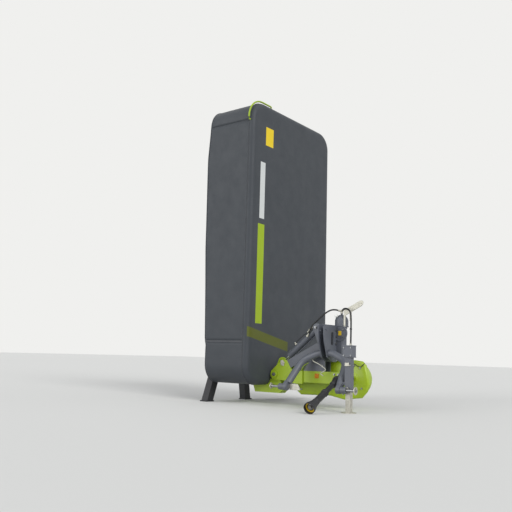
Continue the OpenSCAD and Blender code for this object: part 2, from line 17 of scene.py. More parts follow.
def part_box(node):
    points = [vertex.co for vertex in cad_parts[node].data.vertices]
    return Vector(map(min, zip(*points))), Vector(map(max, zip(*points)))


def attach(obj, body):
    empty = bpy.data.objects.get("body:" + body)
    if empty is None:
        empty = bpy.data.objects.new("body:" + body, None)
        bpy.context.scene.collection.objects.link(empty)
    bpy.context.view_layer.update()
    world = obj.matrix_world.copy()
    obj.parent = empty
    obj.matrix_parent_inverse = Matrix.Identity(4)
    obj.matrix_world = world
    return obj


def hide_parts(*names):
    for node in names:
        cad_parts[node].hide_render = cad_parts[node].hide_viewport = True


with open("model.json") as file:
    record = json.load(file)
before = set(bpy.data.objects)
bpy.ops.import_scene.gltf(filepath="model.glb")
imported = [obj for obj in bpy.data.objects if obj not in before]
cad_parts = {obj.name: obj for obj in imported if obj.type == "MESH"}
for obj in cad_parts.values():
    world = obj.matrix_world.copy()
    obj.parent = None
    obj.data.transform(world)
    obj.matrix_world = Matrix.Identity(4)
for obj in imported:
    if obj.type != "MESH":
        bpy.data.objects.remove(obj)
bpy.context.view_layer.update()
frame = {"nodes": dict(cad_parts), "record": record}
scene = bpy.context.scene
MM = 0.001
pins = {m["name"]: Vector(m["pos_m"]) for m in frame["record"]["mounts"]}
middle = (pins["lower_link_left"] + pins["lower_link_right"]) / 2


def hitch(x, y, z):
    """A point in millimetres from the ground below the middle of the lower link pins."""
    return Vector((middle.x + x * MM, middle.y + y * MM, z * MM))


# %% [markdown]
# ## The camera
# The photograph was taken from a little above knee height, looking slightly upwards, so the
# machine towers over the viewer. The camera is set by where it stands and by three turns:
# its heading, its look upwards and a small lean. The lens comes from the focal length in
# pixels of the square picture.

# %% The camera
CAMERA_AT = hitch(5949, 3837, 557)
HEADING = math.radians(37.8)
LOOK_UP = math.radians(8.372)
LEAN = math.radians(1.661)
FOCAL_PX = 668.1
PICTURE_PX = 512
SENSOR_MM = 36.0

ahead = Vector((-math.cos(HEADING) * math.cos(LOOK_UP), -math.sin(HEADING) * math.cos(LOOK_UP),
                math.sin(LOOK_UP)))
level = ahead.cross(Vector((0, 0, 1))).normalized()
upright = level.cross(ahead)
right = math.cos(LEAN) * level + math.sin(LEAN) * upright
up = math.cos(LEAN) * upright - math.sin(LEAN) * level
camera = bpy.data.objects.new("camera", bpy.data.cameras.new("camera"))
camera.data.sensor_width = SENSOR_MM
camera.data.lens = FOCAL_PX / PICTURE_PX * SENSOR_MM
camera.matrix_world = Matrix.Translation(CAMERA_AT) @ Matrix((right, up, -ahead)).transposed().to_4x4()
scene.collection.objects.link(camera)
scene.camera = camera
print("lens", round(camera.data.lens, 2), "mm")

# %% [markdown]
# ## Nodes and colours
# One small function adds a node, sets its properties and joins its inputs. Another turns the
# usual hex colours, which are sRGB, into the linear values that shaders work with.

# %% Helpers for nodes and colours
def add(tree, kind, inputs=None, **settings):
    """Adds a node. Each input takes a value or another node's output."""
    made = tree.nodes.new(kind)
    for name, value in settings.items():
        setattr(made, name, value)
    for name, value in (inputs or {}).items():
        if isinstance(value, bpy.types.NodeSocket):
            tree.links.new(value, made.inputs[name])
        else:
            made.inputs[name].default_value = value
    return made


def linear(code):
    """An sRGB hex colour as linear red, green, blue and 1."""
    parts = [int(code[i:i + 2], 16) / 255 for i in (1, 3, 5)]
    return [p / 12.92 if p <= 0.04045 else ((p + 0.055) / 1.055) ** 2.4 for p in parts] + [1.0]


def finish_named(name):
    """An empty material: its tree, its shader, and the place on the object."""
    made = bpy.data.materials.new(name)
    made.use_nodes = True
    tree = made.node_tree
    tree.nodes.clear()
    shader = add(tree, "ShaderNodeBsdfPrincipled")
    add(tree, "ShaderNodeOutputMaterial", {"Surface": shader.outputs["BSDF"]})
    place = add(tree, "ShaderNodeTexCoord").outputs["Object"]
    return made, tree, shader, place


def per_mm(size):
    """Scale of a pattern whose features are this many millimetres across."""
    return 1 / (size * MM)


print("mid grey is", round(linear("#808080")[0], 3), "in linear light")

# %% [markdown]
# ## The studio
# A pale floor and an even, soft light. The main light comes from high behind the camera's right
# shoulder, as in the photograph, where the wide face is a little lighter than the side. A weaker
# one from the left lights the side. A sun lamp with a wide angle lights the whole floor evenly
# and still gives soft shadows. The pale backdrop is there for the eye and for mirrors only.

# %% The floor
FLOOR_COLOUR = "#D9D9D6"
FLOOR_HALF_M = 60.0
floor_mesh = bpy.data.meshes.new("floor")
floor_corners = [(x * FLOOR_HALF_M, y * FLOOR_HALF_M, 0) for x, y in ((-1, -1), (1, -1), (1, 1), (-1, 1))]
floor_mesh.from_pydata(floor_corners, [], [(0, 1, 2, 3)])
floor = bpy.data.objects.new("floor", floor_mesh)
scene.collection.objects.link(floor)
floor_finish, tree, shader, place = finish_named("pale_floor")
shader.inputs["Base Color"].default_value = linear(FLOOR_COLOUR)
shader.inputs["Roughness"].default_value = 0.9
floor_mesh.materials.append(floor_finish)
print("floor", 2 * FLOOR_HALF_M, "m across")

# %% The light
BACKDROP_COLOUR = "#F0F0EE"
SKY_COLOUR = "#F4F6FA"
SKY_STRENGTH = 0.63
world = bpy.data.worlds.new("studio")
world.use_nodes = True
scene.world = world
sky = world.node_tree
sky.nodes.clear()
ray = add(sky, "ShaderNodeLightPath")
seen = add(sky, "ShaderNodeMath", {0: ray.outputs["Is Camera Ray"], 1: ray.outputs["Is Glossy Ray"]},
           operation="MAXIMUM")
seen_through = add(sky, "ShaderNodeMath", {0: seen.outputs[0], 1: ray.outputs["Is Transmission Ray"]},
                   operation="MAXIMUM")
lit = add(sky, "ShaderNodeBackground", {"Color": linear(SKY_COLOUR), "Strength": SKY_STRENGTH})
shown = add(sky, "ShaderNodeBackground", {"Color": linear(BACKDROP_COLOUR), "Strength": 1.0})
both = add(sky, "ShaderNodeMixShader", {0: seen_through.outputs[0], 1: lit.outputs[0], 2: shown.outputs[0]})
add(sky, "ShaderNodeOutputWorld", {"Surface": both.outputs[0]})


def soft_sun(name, comes_from, spread, strength):
    """A sun lamp: where it comes from, how wide it looks in degrees, and its strength."""
    lamp = bpy.data.objects.new(name, bpy.data.lights.new(name, "SUN"))
    lamp.data.angle = math.radians(spread)
    lamp.data.energy = strength
    lamp.rotation_euler = Vector(comes_from).to_track_quat("Z", "Y").to_euler()
    scene.collection.objects.link(lamp)


soft_sun("key_lamp", (3.0, 7.1, 4.5), 30, 1.75)
soft_sun("side_lamp", (7.0, -2.9, 2.5), 40, 1.15)
scene.view_settings.view_transform = "Standard"

# %% [markdown]
# ## Powder-coated steel
# The frame parts are welded steel with a baked powder coat. It is smooth but not a mirror: a
# fine orange peel breaks up the highlights, flat areas vary slightly, and dust from the ground
# settles on the lower parts. The peel is about 2 mm across in reality and is drawn at 5 mm.

# %% Powder-coated steel
PEEL_MM = 5
DUST_COLOUR = "#8A8375"
DUST_TOP_M = 0.7


def powder_coat(name, colour, shade, roughness, dust=0.22):
    """A coat in two close tones. The dust is its share at the ground, and fades upwards."""
    made, tree, shader, place = finish_named(name)
    patches = add(tree, "ShaderNodeTexNoise", {"Vector": place, "Scale": per_mm(180), "Detail": 4.0})
    tone = add(tree, "ShaderNodeMix", {0: patches.outputs["Fac"], 6: linear(colour), 7: linear(shade)},
               data_type="RGBA")
    grime = add(tree, "ShaderNodeTexNoise", {"Vector": place, "Scale": per_mm(35), "Detail": 6.0,
                                             "Roughness": 0.7})
    height = add(tree, "ShaderNodeSeparateXYZ", {"Vector": place})
    low = add(tree, "ShaderNodeMapRange", {"Value": height.outputs["Z"], "From Min": 0.0,
                                           "From Max": DUST_TOP_M, "To Min": dust, "To Max": 0.04})
    spots = add(tree, "ShaderNodeMapRange", {"Value": grime.outputs["Fac"], "From Min": 0.42,
                                             "From Max": 0.7})
    amount = add(tree, "ShaderNodeMath", {0: low.outputs[0], 1: spots.outputs[0]}, operation="MULTIPLY")
    dusty = add(tree, "ShaderNodeMix", {0: amount.outputs[0], 6: tone.outputs[2],
                                        7: linear(DUST_COLOUR)}, data_type="RGBA")
    tree.links.new(dusty.outputs[2], shader.inputs["Base Color"])
    gloss = add(tree, "ShaderNodeMapRange", {"Value": grime.outputs["Fac"], "From Min": 0.3,
                                             "From Max": 0.7, "To Min": roughness - 0.06,
                                             "To Max": roughness + 0.14})
    tree.links.new(gloss.outputs[0], shader.inputs["Roughness"])
    peel = add(tree, "ShaderNodeTexNoise", {"Vector": place, "Scale": per_mm(PEEL_MM), "Detail": 1.0})
    bump = add(tree, "ShaderNodeBump", {"Height": peel.outputs["Fac"], "Strength": 0.12,
                                        "Distance": 0.4 * MM})
    tree.links.new(bump.outputs[0], shader.inputs["Normal"])
    return made


grey_coat = powder_coat("grey_powder_coat", "#5C6069", "#50545D", 0.42)
lime_coat = powder_coat("lime_powder_coat", "#9BB41B", "#8CA516", 0.38, 0.12)
black_coat = powder_coat("black_powder_coat", "#191C23", "#121419", 0.5, 0.08)
print("coats", grey_coat.name, lime_coat.name, black_coat.name)

# %% [markdown]
# ## Galvanised, bare and plated steel
# Hot-dip zinc grows in crystals, which show as angular patches of slightly different grey.
# Skids, discs and knives are bare steel, polished by the stubble and scratched along it. The
# lift cylinder's rod is hard chrome, with hardly a mark.

# %% Metals
CRYSTAL_MM = 14


def zinc_plate():
    made, tree, shader, place = finish_named("galvanised_steel")
    crystals = add(tree, "ShaderNodeTexVoronoi", {"Vector": place, "Scale": per_mm(CRYSTAL_MM)})
    tone = add(tree, "ShaderNodeMix", {0: crystals.outputs["Color"], 6: linear("#A9A79C"),
                                       7: linear("#C3C1B6")}, data_type="RGBA")
    tree.links.new(tone.outputs[2], shader.inputs["Base Color"])
    cloud = add(tree, "ShaderNodeTexNoise", {"Vector": place, "Scale": per_mm(60), "Detail": 4.0})
    gloss = add(tree, "ShaderNodeMapRange", {"Value": cloud.outputs["Fac"], "To Min": 0.38, "To Max": 0.62})
    tree.links.new(gloss.outputs[0], shader.inputs["Roughness"])
    shader.inputs["Metallic"].default_value = 0.65
    return made


def bare_steel(name, colour, shade, roughness, stretch):
    """Steel with fine lines. Along an axis whose stretch is small, the lines run long."""
    made, tree, shader, place = finish_named(name)
    along = add(tree, "ShaderNodeMapping", {"Vector": place, "Scale": stretch})
    lines = add(tree, "ShaderNodeTexNoise", {"Vector": along.outputs[0], "Scale": per_mm(8), "Detail": 5.0})
    tone = add(tree, "ShaderNodeMix", {0: lines.outputs["Fac"], 6: linear(colour), 7: linear(shade)},
               data_type="RGBA")
    tree.links.new(tone.outputs[2], shader.inputs["Base Color"])
    gloss = add(tree, "ShaderNodeMapRange", {"Value": lines.outputs["Fac"], "To Min": roughness - 0.1,
                                             "To Max": roughness + 0.15})
    tree.links.new(gloss.outputs[0], shader.inputs["Roughness"])
    shader.inputs["Metallic"].default_value = 0.85
    return made


zinc = zinc_plate()
worn_steel = bare_steel("scoured_steel", "#86888B", "#706E6B", 0.4, (1.0, 1.0, 0.3))
pin_steel = bare_steel("turned_steel", "#9A9DA0", "#6E6E6C", 0.3, (1.0, 0.15, 1.0))
chrome = bare_steel("hard_chrome", "#D5D8DC", "#C2C6CA", 0.16, (1.0, 1.0, 1.0))
chrome.node_tree.nodes["Principled BSDF"].inputs["Metallic"].default_value = 1.0
print("metals", zinc.name, worn_steel.name, pin_steel.name, chrome.name)

# %% [markdown]
# ## Moulded plastic and rubber
# The drive shaft's guard is black polyethylene, waxy and lightly grained. The belt guard is a
# hood in lime. The reflector is an amber lens, moulded in small cells that throw light back; its
# amber is painted darker than its own colour, as painted shade for the shade that falls on it.

# %% Plastics and rubber
def moulded(name, colour, shade, roughness, grain_mm, depth_mm):
    """A moulded finish in two close tones, with a grain of the given width and depth."""
    made, tree, shader, place = finish_named(name)
    cloud = add(tree, "ShaderNodeTexNoise", {"Vector": place, "Scale": per_mm(90), "Detail": 5.0})
    tone = add(tree, "ShaderNodeMix", {0: cloud.outputs["Fac"], 6: linear(colour), 7: linear(shade)},
               data_type="RGBA")
    tree.links.new(tone.outputs[2], shader.inputs["Base Color"])
    gloss = add(tree, "ShaderNodeMapRange", {"Value": cloud.outputs["Fac"], "To Min": roughness - 0.08,
                                             "To Max": roughness + 0.12})
    tree.links.new(gloss.outputs[0], shader.inputs["Roughness"])
    grain = add(tree, "ShaderNodeTexNoise", {"Vector": place, "Scale": per_mm(grain_mm), "Detail": 2.0})
    bump = add(tree, "ShaderNodeBump", {"Height": grain.outputs["Fac"], "Strength": 0.25,
                                        "Distance": depth_mm * MM})
    tree.links.new(bump.outputs[0], shader.inputs["Normal"])
    return made


black_plastic = moulded("black_polyethylene", "#1B1C1F", "#27282B", 0.5, 3, 0.4)
lime_plastic = moulded("lime_hood", "#9BB41B", "#8FA818", 0.34, 4, 0.3)
yellow_plastic = moulded("yellow_polyamide", "#DDBB1E", "#CDAA18", 0.4, 3, 0.3)
hose_rubber = moulded("hose_rubber", "#151617", "#1F2021", 0.55, 2, 0.3)


def shaded_amber_lens():
    made, tree, shader, place = finish_named("shaded_amber_lens")
    cells = add(tree, "ShaderNodeTexVoronoi", {"Vector": place, "Scale": per_mm(6)})
    bump = add(tree, "ShaderNodeBump", {"Height": cells.outputs["Distance"], "Strength": 0.5,
                                        "Distance": 1.0 * MM})
    tree.links.new(bump.outputs[0], shader.inputs["Normal"])
    # Both ambers are darker than the lens's own colour: painted shade for the shade that lies on it.
    tone = add(tree, "ShaderNodeMix", {0: cells.outputs["Distance"], 6: linear("#A85E12"),
                                       7: linear("#CC8420")}, data_type="RGBA")
    tree.links.new(tone.outputs[2], shader.inputs["Base Color"])
    shader.inputs["Roughness"].default_value = 0.15
    return made


amber = shaded_amber_lens()
print("plastics", black_plastic.name, lime_plastic.name, yellow_plastic.name, hose_rubber.name, amber.name)

# %% [markdown]
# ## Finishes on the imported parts
# Most rigid parts keep their CAD shape and only get a finish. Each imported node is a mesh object,
# and its material slots are simply filled with the new material. The nodes that aren't listed
# here are replaced further down by pieces that are closer to the real ones.

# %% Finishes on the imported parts
FINISHES = {
    grey_coat: ["mast_cheeks", "jack_sleeve", "mast_plates", "swing_strut", "swivel_sleeve", "lift_barrel"],
    lime_coat: ["main_beam", "fork_plates", "hinge_arm", "crank_plates", "frame_beam", "end_plates",
                "gearbox", "cover_handle"],
    zinc: ["jack_leg"],
    pin_steel: ["link_pins"],
    chrome: ["lift_rod"],
    worn_steel: ["bar_skids"] + [f"disc_{i}" for i in range(1, 8)],
    black_coat: ["bar_housing", "rails", "cross_rails", "leg_bracket", "leg_front", "leg_rear",
                 "input_stub"],
    amber: ["reflector"],
}
for made, names in FINISHES.items():
    for name in names:
        mesh = frame["nodes"][name].data
        mesh.materials.clear()
        mesh.materials.append(made)
print("finishes on", sum(len(v) for v in FINISHES.values()), "nodes")

# %% [markdown]
# ## Coated cloth
# The cover is woven polyester coated with soft plastic, as on a lorry's side curtain: dark
# grey, slightly blue, with a dull sheen. The threads show through as a fine basket weave. They
# are about 1.4 mm apart, too fine for the picture, and are drawn 6 mm wide: one thread over and
# one under give waves that are two threads long. The weave follows the cloth through the
# piece's own UV map, whose unit is a metre.

# %% Coated cloth
CLOTH = "#3F4348"
CLOTH_SHADE = "#363A3F"
THREAD_MM = 6.0
# A wave texture repeats every 2 pi / 20 of its own units, and one repeat is two threads
WAVE_UNITS = math.pi / 20


def coated_cloth(name):
    """The cloth without its colour: its tone is returned, for a print to be laid over it."""
    made, tree, shader, place = finish_named(name)
    cloth_map = add(tree, "ShaderNodeUVMap", uv_map="cloth")
    weave = []
    for direction in ("X", "Y"):
        weave.append(add(tree, "ShaderNodeTexWave", {"Vector": cloth_map.outputs[0],
                                                     "Scale": per_mm(THREAD_MM) * WAVE_UNITS,
                                                     "Distortion": 0.3, "Detail": 1.0},
                         bands_direction=direction))
    threads = add(tree, "ShaderNodeMath", {0: weave[0].outputs["Fac"], 1: weave[1].outputs["Fac"]},
                  operation="MULTIPLY")
    rumple = add(tree, "ShaderNodeTexNoise", {"Vector": place, "Scale": per_mm(120), "Detail": 5.0,
                                              "Roughness": 0.6})
    height = add(tree, "ShaderNodeMath", {0: threads.outputs[0], 1: 0.25, 2: rumple.outputs["Fac"]},
                 operation="MULTIPLY_ADD")
    swell = add(tree, "ShaderNodeTexNoise", {"Vector": place, "Scale": per_mm(520), "Detail": 2.0})
    broad = add(tree, "ShaderNodeBump", {"Height": swell.outputs["Fac"], "Strength": 0.6,
                                         "Distance": 34.0 * MM})
    bump = add(tree, "ShaderNodeBump", {"Height": height.outputs[0], "Strength": 0.3, "Distance": 2.0 * MM,
                                        "Normal": broad.outputs[0]})
    tree.links.new(bump.outputs[0], shader.inputs["Normal"])
    cloud = add(tree, "ShaderNodeTexNoise", {"Vector": place, "Scale": per_mm(420), "Detail": 5.0})
    tone = add(tree, "ShaderNodeMix", {0: cloud.outputs["Fac"], 6: linear(CLOTH), 7: linear(CLOTH_SHADE)},
               data_type="RGBA")
    gloss = add(tree, "ShaderNodeMapRange", {"Value": rumple.outputs["Fac"], "From Min": 0.3,
                                             "From Max": 0.7, "To Min": 0.46, "To Max": 0.62})
    tree.links.new(gloss.outputs[0], shader.inputs["Roughness"])
    shader.inputs["Sheen Weight"].default_value = 0.03
    shader.inputs["Specular IOR Level"].default_value = 0.3
    return made, tree, shader, place, tone


plain_cloth, tree, shader, place, tone = coated_cloth("coated_cloth")
tree.links.new(tone.outputs[2], shader.inputs["Base Color"])
print("threads drawn", THREAD_MM, "mm wide")

# %% [markdown]
# ## Stripes printed on the wide face
# The wide face carries a long lime stripe, a white stripe above it where the real one is
# lettered, a small yellow plate, and an olive band that slants down to the rear. They are
# printed on the cloth, so they live in its material: each is a box in the object's own X and Z,
# sheared for the slanting band, and its mask picks the colour.

# %% Stripes printed on the wide face
STRIPES = [
    # colour, front x, rear x, low z, high z, slope (rise of the low edge per metre forward)
    ("#93AB1C", -30, -155, 905, 2055, 0.0),
    ("#C6C9C8", -52, -146, 2120, 2795, 0.0),
    ("#DDC022", -143, -293, 3015, 3240, 0.0),
    ("#545A1C", 90, -680, 600, 712, 0.2),
]


def stripe_mask(tree, across, height, front, rear, low, high, slope):
    """1 inside a stripe whose low edge climbs forwards by the given slope."""
    lean = add(tree, "ShaderNodeMath", {0: across, 1: -hitch(rear, 0, 0).x}, operation="ADD")
    climb = add(tree, "ShaderNodeMath", {0: lean.outputs[0], 1: -slope, 2: height},
                operation="MULTIPLY_ADD")
    parts = []
    for value, start, end in ((across, hitch(rear, 0, 0).x, hitch(front, 0, 0).x),
                              (climb.outputs[0], low * MM, high * MM)):
        middle_value, half = (start + end) / 2, (end - start) / 2
        parts.append(add(tree, "ShaderNodeMath", {0: value, 1: middle_value, 2: half}, operation="COMPARE"))
    return add(tree, "ShaderNodeMath", {0: parts[0].outputs[0], 1: parts[1].outputs[0]},
               operation="MULTIPLY").outputs[0]


striped_cloth, tree, shader, place, tone = coated_cloth("printed_cloth")
split = add(tree, "ShaderNodeSeparateXYZ", {"Vector": place})
colour = tone.outputs[2]
for code, front, rear, low, high, slope in STRIPES:
    mask = stripe_mask(tree, split.outputs["X"], split.outputs["Z"], front, rear, low, high, slope)
    colour = add(tree, "ShaderNodeMix", {0: mask, 6: colour, 7: linear(code)}, data_type="RGBA").outputs[2]
tree.links.new(colour, shader.inputs["Base Color"])
print("stripes", len(STRIPES))

# %% [markdown]
# ## The cover's outline
# Seen from the side the cover is a tall rectangle with round corners. Each point of the outline
# is kept as the centre that its corner turns about and a direction out from it, so an inner
# ring is the same outline with a smaller radius, and past the radius the centres close in.

# %% The cover's outline
top_low, top_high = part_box("cover_top")
skirt_low, skirt_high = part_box("skirt_front")
# The corners seen from the side, the rolled edge of the wide face, and the spacing of points
CORNER_R = 220 * MM
EDGE_R = 62 * MM
STEP = 42 * MM
SEAM_Z = skirt_low.z
OUTER_Z = skirt_high.z
FACE_Y = top_high.y
PIPING_Y = hitch(0, -851, 0).y
# Height and sideways place of the free edge, in millimetres: it bellies out in the middle
FREE_EDGE_Z = [220, 680, 700, 1768, 2878, 3338, 3520]
FREE_EDGE_Y = [-1390, -1392, -1409, -1451, -1468, -1436, -1429]


def free_edge(z):
    return hitch(0, float(np.interp(z / MM, FREE_EDGE_Z, FREE_EDGE_Y)), 0).y


def straight(start, end, turn):
    """Points along a straight side, first end included, that all look the same way."""
    count = max(1, round((Vector(end) - Vector(start)).length / STEP))
    return [(start[0] + (end[0] - start[0]) * k / count, start[1] + (end[1] - start[1]) * k / count, turn)
            for k in range(count)]


def cover_outline():
    """Corner centre x and z, and the angle outwards, all the way round from the seam in front."""
    x0, x1 = top_low.x + CORNER_R, top_high.x - CORNER_R
    z0, z1 = top_low.z + CORNER_R, top_high.z - CORNER_R
    turns = 12

    def corner(x, z, first):
        return [(x, z, first + 90 * k / turns) for k in range(turns)]

    points = straight((x1, SEAM_Z), (x1, OUTER_Z), 0) + straight((x1, OUTER_Z), (x1, z1), 0)
    points += corner(x1, z1, 0) + straight((x1, z1), (x0, z1), 90) + corner(x0, z1, 90)
    points += straight((x0, z1), (x0, OUTER_Z), 180) + straight((x0, OUTER_Z), (x0, SEAM_Z), 180)
    points += straight((x0, SEAM_Z), (x0, z0), 180) + corner(x0, z0, 180)
    points += straight((x0, z0), (x1, z0), 270) + corner(x1, z0, 270) + straight((x1, z0), (x1, SEAM_Z), 0)
    return points


OUTLINE = cover_outline()
centre_x, centre_z = (top_low.x + top_high.x) / 2, (top_low.z + top_high.z) / 2
# Half the width and height between the corners' centres
half_core = (top_high.x - top_low.x) / 2 - CORNER_R
half_z = (top_high.z - top_low.z) / 2 - CORNER_R


def on_outline(k, inset):
    """The outline's point k, moved inwards by inset."""
    x, z, turn = OUTLINE[k % len(OUTLINE)]
    radius = max(CORNER_R - inset, 0)
    shrink = max(inset - CORNER_R, 0)
    x = centre_x + (x - centre_x) * (half_core - shrink) / half_core
    z = centre_z + (z - centre_z) * (half_z - shrink) / half_z
    return x + radius * math.cos(math.radians(turn)), z + radius * math.sin(math.radians(turn))


print("outline points", len(OUTLINE))

# %% [markdown]
# ## Simple shapes
# Most small parts are turned, swept along a path, or cut from plate. A few short functions give
# the points and faces of such shapes, and one gathers several of them into a single piece. A
# swept ring is turned as little as can be from the one before it, so the tube doesn't twist.

# %% Skins and turned shapes
# Ways on the machine, for a viewer who stands before its front
FRONT, BACK, LEFT, RIGHT = (1, 0, 0), (-1, 0, 0), (0, -1, 0), (0, 1, 0)
UPWARDS, DOWNWARDS = (0, 0, 1), (0, 0, -1)


def rings_joined(rings, closed=False):
    """Points and faces of a skin over rings of equally many points, with flat ends unless closed."""
    count, sides = len(rings), len(rings[0])
    points = [point for ring in rings for point in ring]
    faces = []
    for k in range(count if closed else count - 1):
        a, b = k * sides, (k + 1) % count * sides
        faces += [(a + s, a + (s + 1) % sides, b + (s + 1) % sides, b + s) for s in range(sides)]
    if not closed:
        faces += [tuple(reversed(range(sides))), tuple(range((count - 1) * sides, count * sides))]
    return points, faces


def tube(path, radius, sides=10, closed=False):
    """A round tube along a path."""
    rings, side = [], None
    for k, here in enumerate(path):
        before = path[k - 1] if closed or k else here
        after = path[(k + 1) % len(path)] if closed or k < len(path) - 1 else here
        along = (after - before).normalized()
        side = along.orthogonal() if side is None else side - side.dot(along) * along
        side.normalize()
        other = along.cross(side)
        rings.append([here + radius * (math.cos(turn) * side + math.sin(turn) * other)
                      for turn in (2 * math.pi * s / sides for s in range(sides))])
    return rings_joined(rings, closed)


def turned(profile, at, axis, sides=24, closed=False):
    """A turned shape. The profile gives places along the axis and radii, in millimetres."""
    axis = Vector(axis).normalized()
    side = axis.orthogonal().normalized()
    other = axis.cross(side)
    turns = [2 * math.pi * s / sides for s in range(sides)]
    rings = [[at + MM * (along * axis + radius * (math.cos(turn) * side + math.sin(turn) * other))
              for turn in turns] for along, radius in profile]
    return rings_joined(rings, closed)


print("a turned disc has", len(turned([(0, 1), (1, 1)], Vector((0, 0, 0)), UPWARDS)[1]), "faces")


# %% Plates and blocks
def plate(outline, low, high, axis="x"):
    """A plate cut to an outline, in millimetres, in Y and Z for a plate across X, or else in X and Z."""
    return rings_joined([[hitch(*((c, a, b) if axis == "x" else (a, c, b))) for a, b in outline]
                         for c in (low, high)])


def block(low, high):
    """A plain block between two corners, in millimetres."""
    (x0, y0, z0), (x1, y1, z1) = low, high
    return plate([(y0, z0), (y1, z0), (y1, z1), (y0, z1)], x0, x1)


def gathered(*shapes):
    """Several shapes as one."""
    points, faces = [], []
    for more_points, more_faces in shapes:
        faces += [tuple(len(points) + v for v in face) for face in more_faces]
        points += more_points
    return points, faces


print("a block has", len(block((0, 0, 0), (1, 1, 1))[1]), "faces")


# %% Smooth lines
def smooth_path(corners, steps=5):
    """Points in millimetres joined by smooth curves that pass through each of them."""
    places = [Vector(c) for c in corners]
    places = [2 * places[0] - places[1]] + places + [2 * places[-1] - places[-2]]
    path = []
    for a, b, c, d in zip(places, places[1:], places[2:], places[3:]):
        for k in range(steps):
            t = k / steps
            path.append(0.5 * (2 * b + (c - a) * t + (2 * a - 5 * b + 4 * c - d) * t * t
                               + (3 * b - a - 3 * c + d) * t ** 3))
    return [hitch(*p) for p in path + [places[-2]]]


def bend(a, b, c, steps=6):
    """Points in millimetres from a to c along a bend that is drawn towards b."""
    a, b, c = Vector(a), Vector(b), Vector(c)
    shares = [k / steps for k in range(steps + 1)]
    return [(1 - t) ** 2 * a + 2 * t * (1 - t) * b + t * t * c for t in shares]


print("a bend of six steps has", len(bend(FRONT, UPWARDS, RIGHT)), "points")

# %% A finished piece
SHARP_DEG = 35


def new_piece(name, shape, material, body, bevel=0.0):
    """A closed rigid piece: faces outwards, edges sharp where they turn, or rounded by a bevel."""
    mesh = bpy.data.meshes.new(name)
    mesh.from_pydata([tuple(p) for p in shape[0]], [], shape[1])
    work = bmesh.new()
    work.from_mesh(mesh)
    bmesh.ops.recalc_face_normals(work, faces=work.faces)
    work.to_mesh(mesh)
    work.free()
    mesh.materials.append(material)
    for face in mesh.polygons:
        face.use_smooth = True
    mesh.set_sharp_from_angle(angle=math.radians(SHARP_DEG))
    made = bpy.data.objects.new(name, mesh)
    scene.collection.objects.link(made)
    if bevel:
        rounding = made.modifiers.new("rounding", "BEVEL")
        rounding.width = bevel * MM
        rounding.segments = 2
        rounding.limit_method = "ANGLE"
        rounding.harden_normals = True
    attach(made, body)
    return made


# %% [markdown]
# ## The cover's sheets
# Cloth stretched over a frame isn't flat: it dips a few millimetres between the rails, and it
# rumples towards its free edges. The dips and rumples are smooth noise with a fixed pattern, and
# they fade out where the cloth is held. A Solidify modifier gives each sheet its thickness.

# %% The cover's sheets
CLOTH_T = 5 * MM
# How deep the wide face dips and rumples, and over what width its held edge lets go
DIP, FACE_RUMPLE, HELD_WIDTH = 3 * MM, 4 * MM, 0.25
# The last ring stops this far short of the middle line
MIDDLE_GAP = 1e-4


def rumple(u, v, reach):
    """Push of the cloth along its own outward direction, in metres, within plus or minus reach."""
    broad = noise.noise(Vector((u * 1.3, v * 1.1, 3.7)))
    fine = noise.noise(Vector((u * 4.1, v * 2.9, 8.2)))
    return reach * (0.75 * broad + 0.25 * fine)


def new_cloth(name, points, faces, material):
    """A smooth sheet on the mower, without its thickness."""
    mesh = bpy.data.meshes.new(name)
    mesh.from_pydata([tuple(p) for p in points], [], faces)
    mesh.materials.append(material)
    for face in mesh.polygons:
        face.use_smooth = True
    made = bpy.data.objects.new(name, mesh)
    scene.collection.objects.link(made)
    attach(made, "mower")
    return made


def give_cloth_map(piece, flat_points):
    """Writes the flat place of each vertex, in metres, as the UV map that the weave follows."""
    layer = piece.data.uv_layers.new(name="cloth")
    for loop in piece.data.loops:
        layer.data[loop.index].uv = flat_points[loop.vertex_index]


def thicken(piece, thickness, faces_out):
    """Gives a sheet its thickness, inwards. Its last material goes on the inner side."""
    if not faces_out:
        piece.data.flip_normals()
    solid = piece.modifiers.new("thickness", "SOLIDIFY")
    solid.material_offset = solid.material_offset_rim = len(piece.data.materials) - 1
    solid.thickness = thickness
    solid.offset = -1
    solid.use_even_offset = True


def wide_face():
    """The large sheet, as rings from the piping over the rolled edge to the middle line."""
    edge_turns = 6
    insets = [EDGE_R * (1 - math.cos(math.pi / 2 * k / edge_turns)) for k in range(edge_turns + 1)]
    drops = [EDGE_R * (1 - math.sin(math.pi / 2 * k / edge_turns)) for k in range(edge_turns + 1)]
    rings = 19
    flat_width = CORNER_R + half_core - MIDDLE_GAP - EDGE_R
    insets += [EDGE_R + flat_width * k / rings for k in range(1, rings + 1)]
    drops += [0.0] * rings
    count = len(OUTLINE)
    points, flat = [], []
    for inset, drop in [(0, FACE_Y - PIPING_Y)] + list(zip(insets, drops)):
        for k in range(count):
            x, z = on_outline(k, inset)
            held = min(1.0, max(inset - EDGE_R, 0) / HELD_WIDTH)
            points.append((x, FACE_Y - drop - held * (DIP + rumple(x, z, FACE_RUMPLE)), z))
            flat.append((x, z))
    rows = len(points) // count
    faces = [(r * count + k, r * count + (k + 1) % count, (r + 1) * count + (k + 1) % count,
              (r + 1) * count + k) for r in range(rows - 1) for k in range(count)]
    piece = new_cloth("cover_face", points, faces, striped_cloth)
    piece.data.materials.append(plain_cloth)
    give_cloth_map(piece, flat)
    shape = bmesh.new()
    shape.from_mesh(piece.data)
    bmesh.ops.remove_doubles(shape, verts=shape.verts, dist=0.5 * MM)
    bmesh.ops.recalc_face_normals(shape, faces=shape.faces)
    shape.to_mesh(piece.data)
    shape.free()
    return piece


face = wide_face()
facing = sum(p.normal.y * p.area for p in face.data.polygons)
thicken(face, CLOTH_T, facing > 0)
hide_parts("cover_top")

# %% [markdown]
# ## The skirts
# Four skirts hang round the cutting side. Each follows a stretch of the outline and runs from
# the piping to its free edge, where the cloth is turned over a cord and stands a little proud.

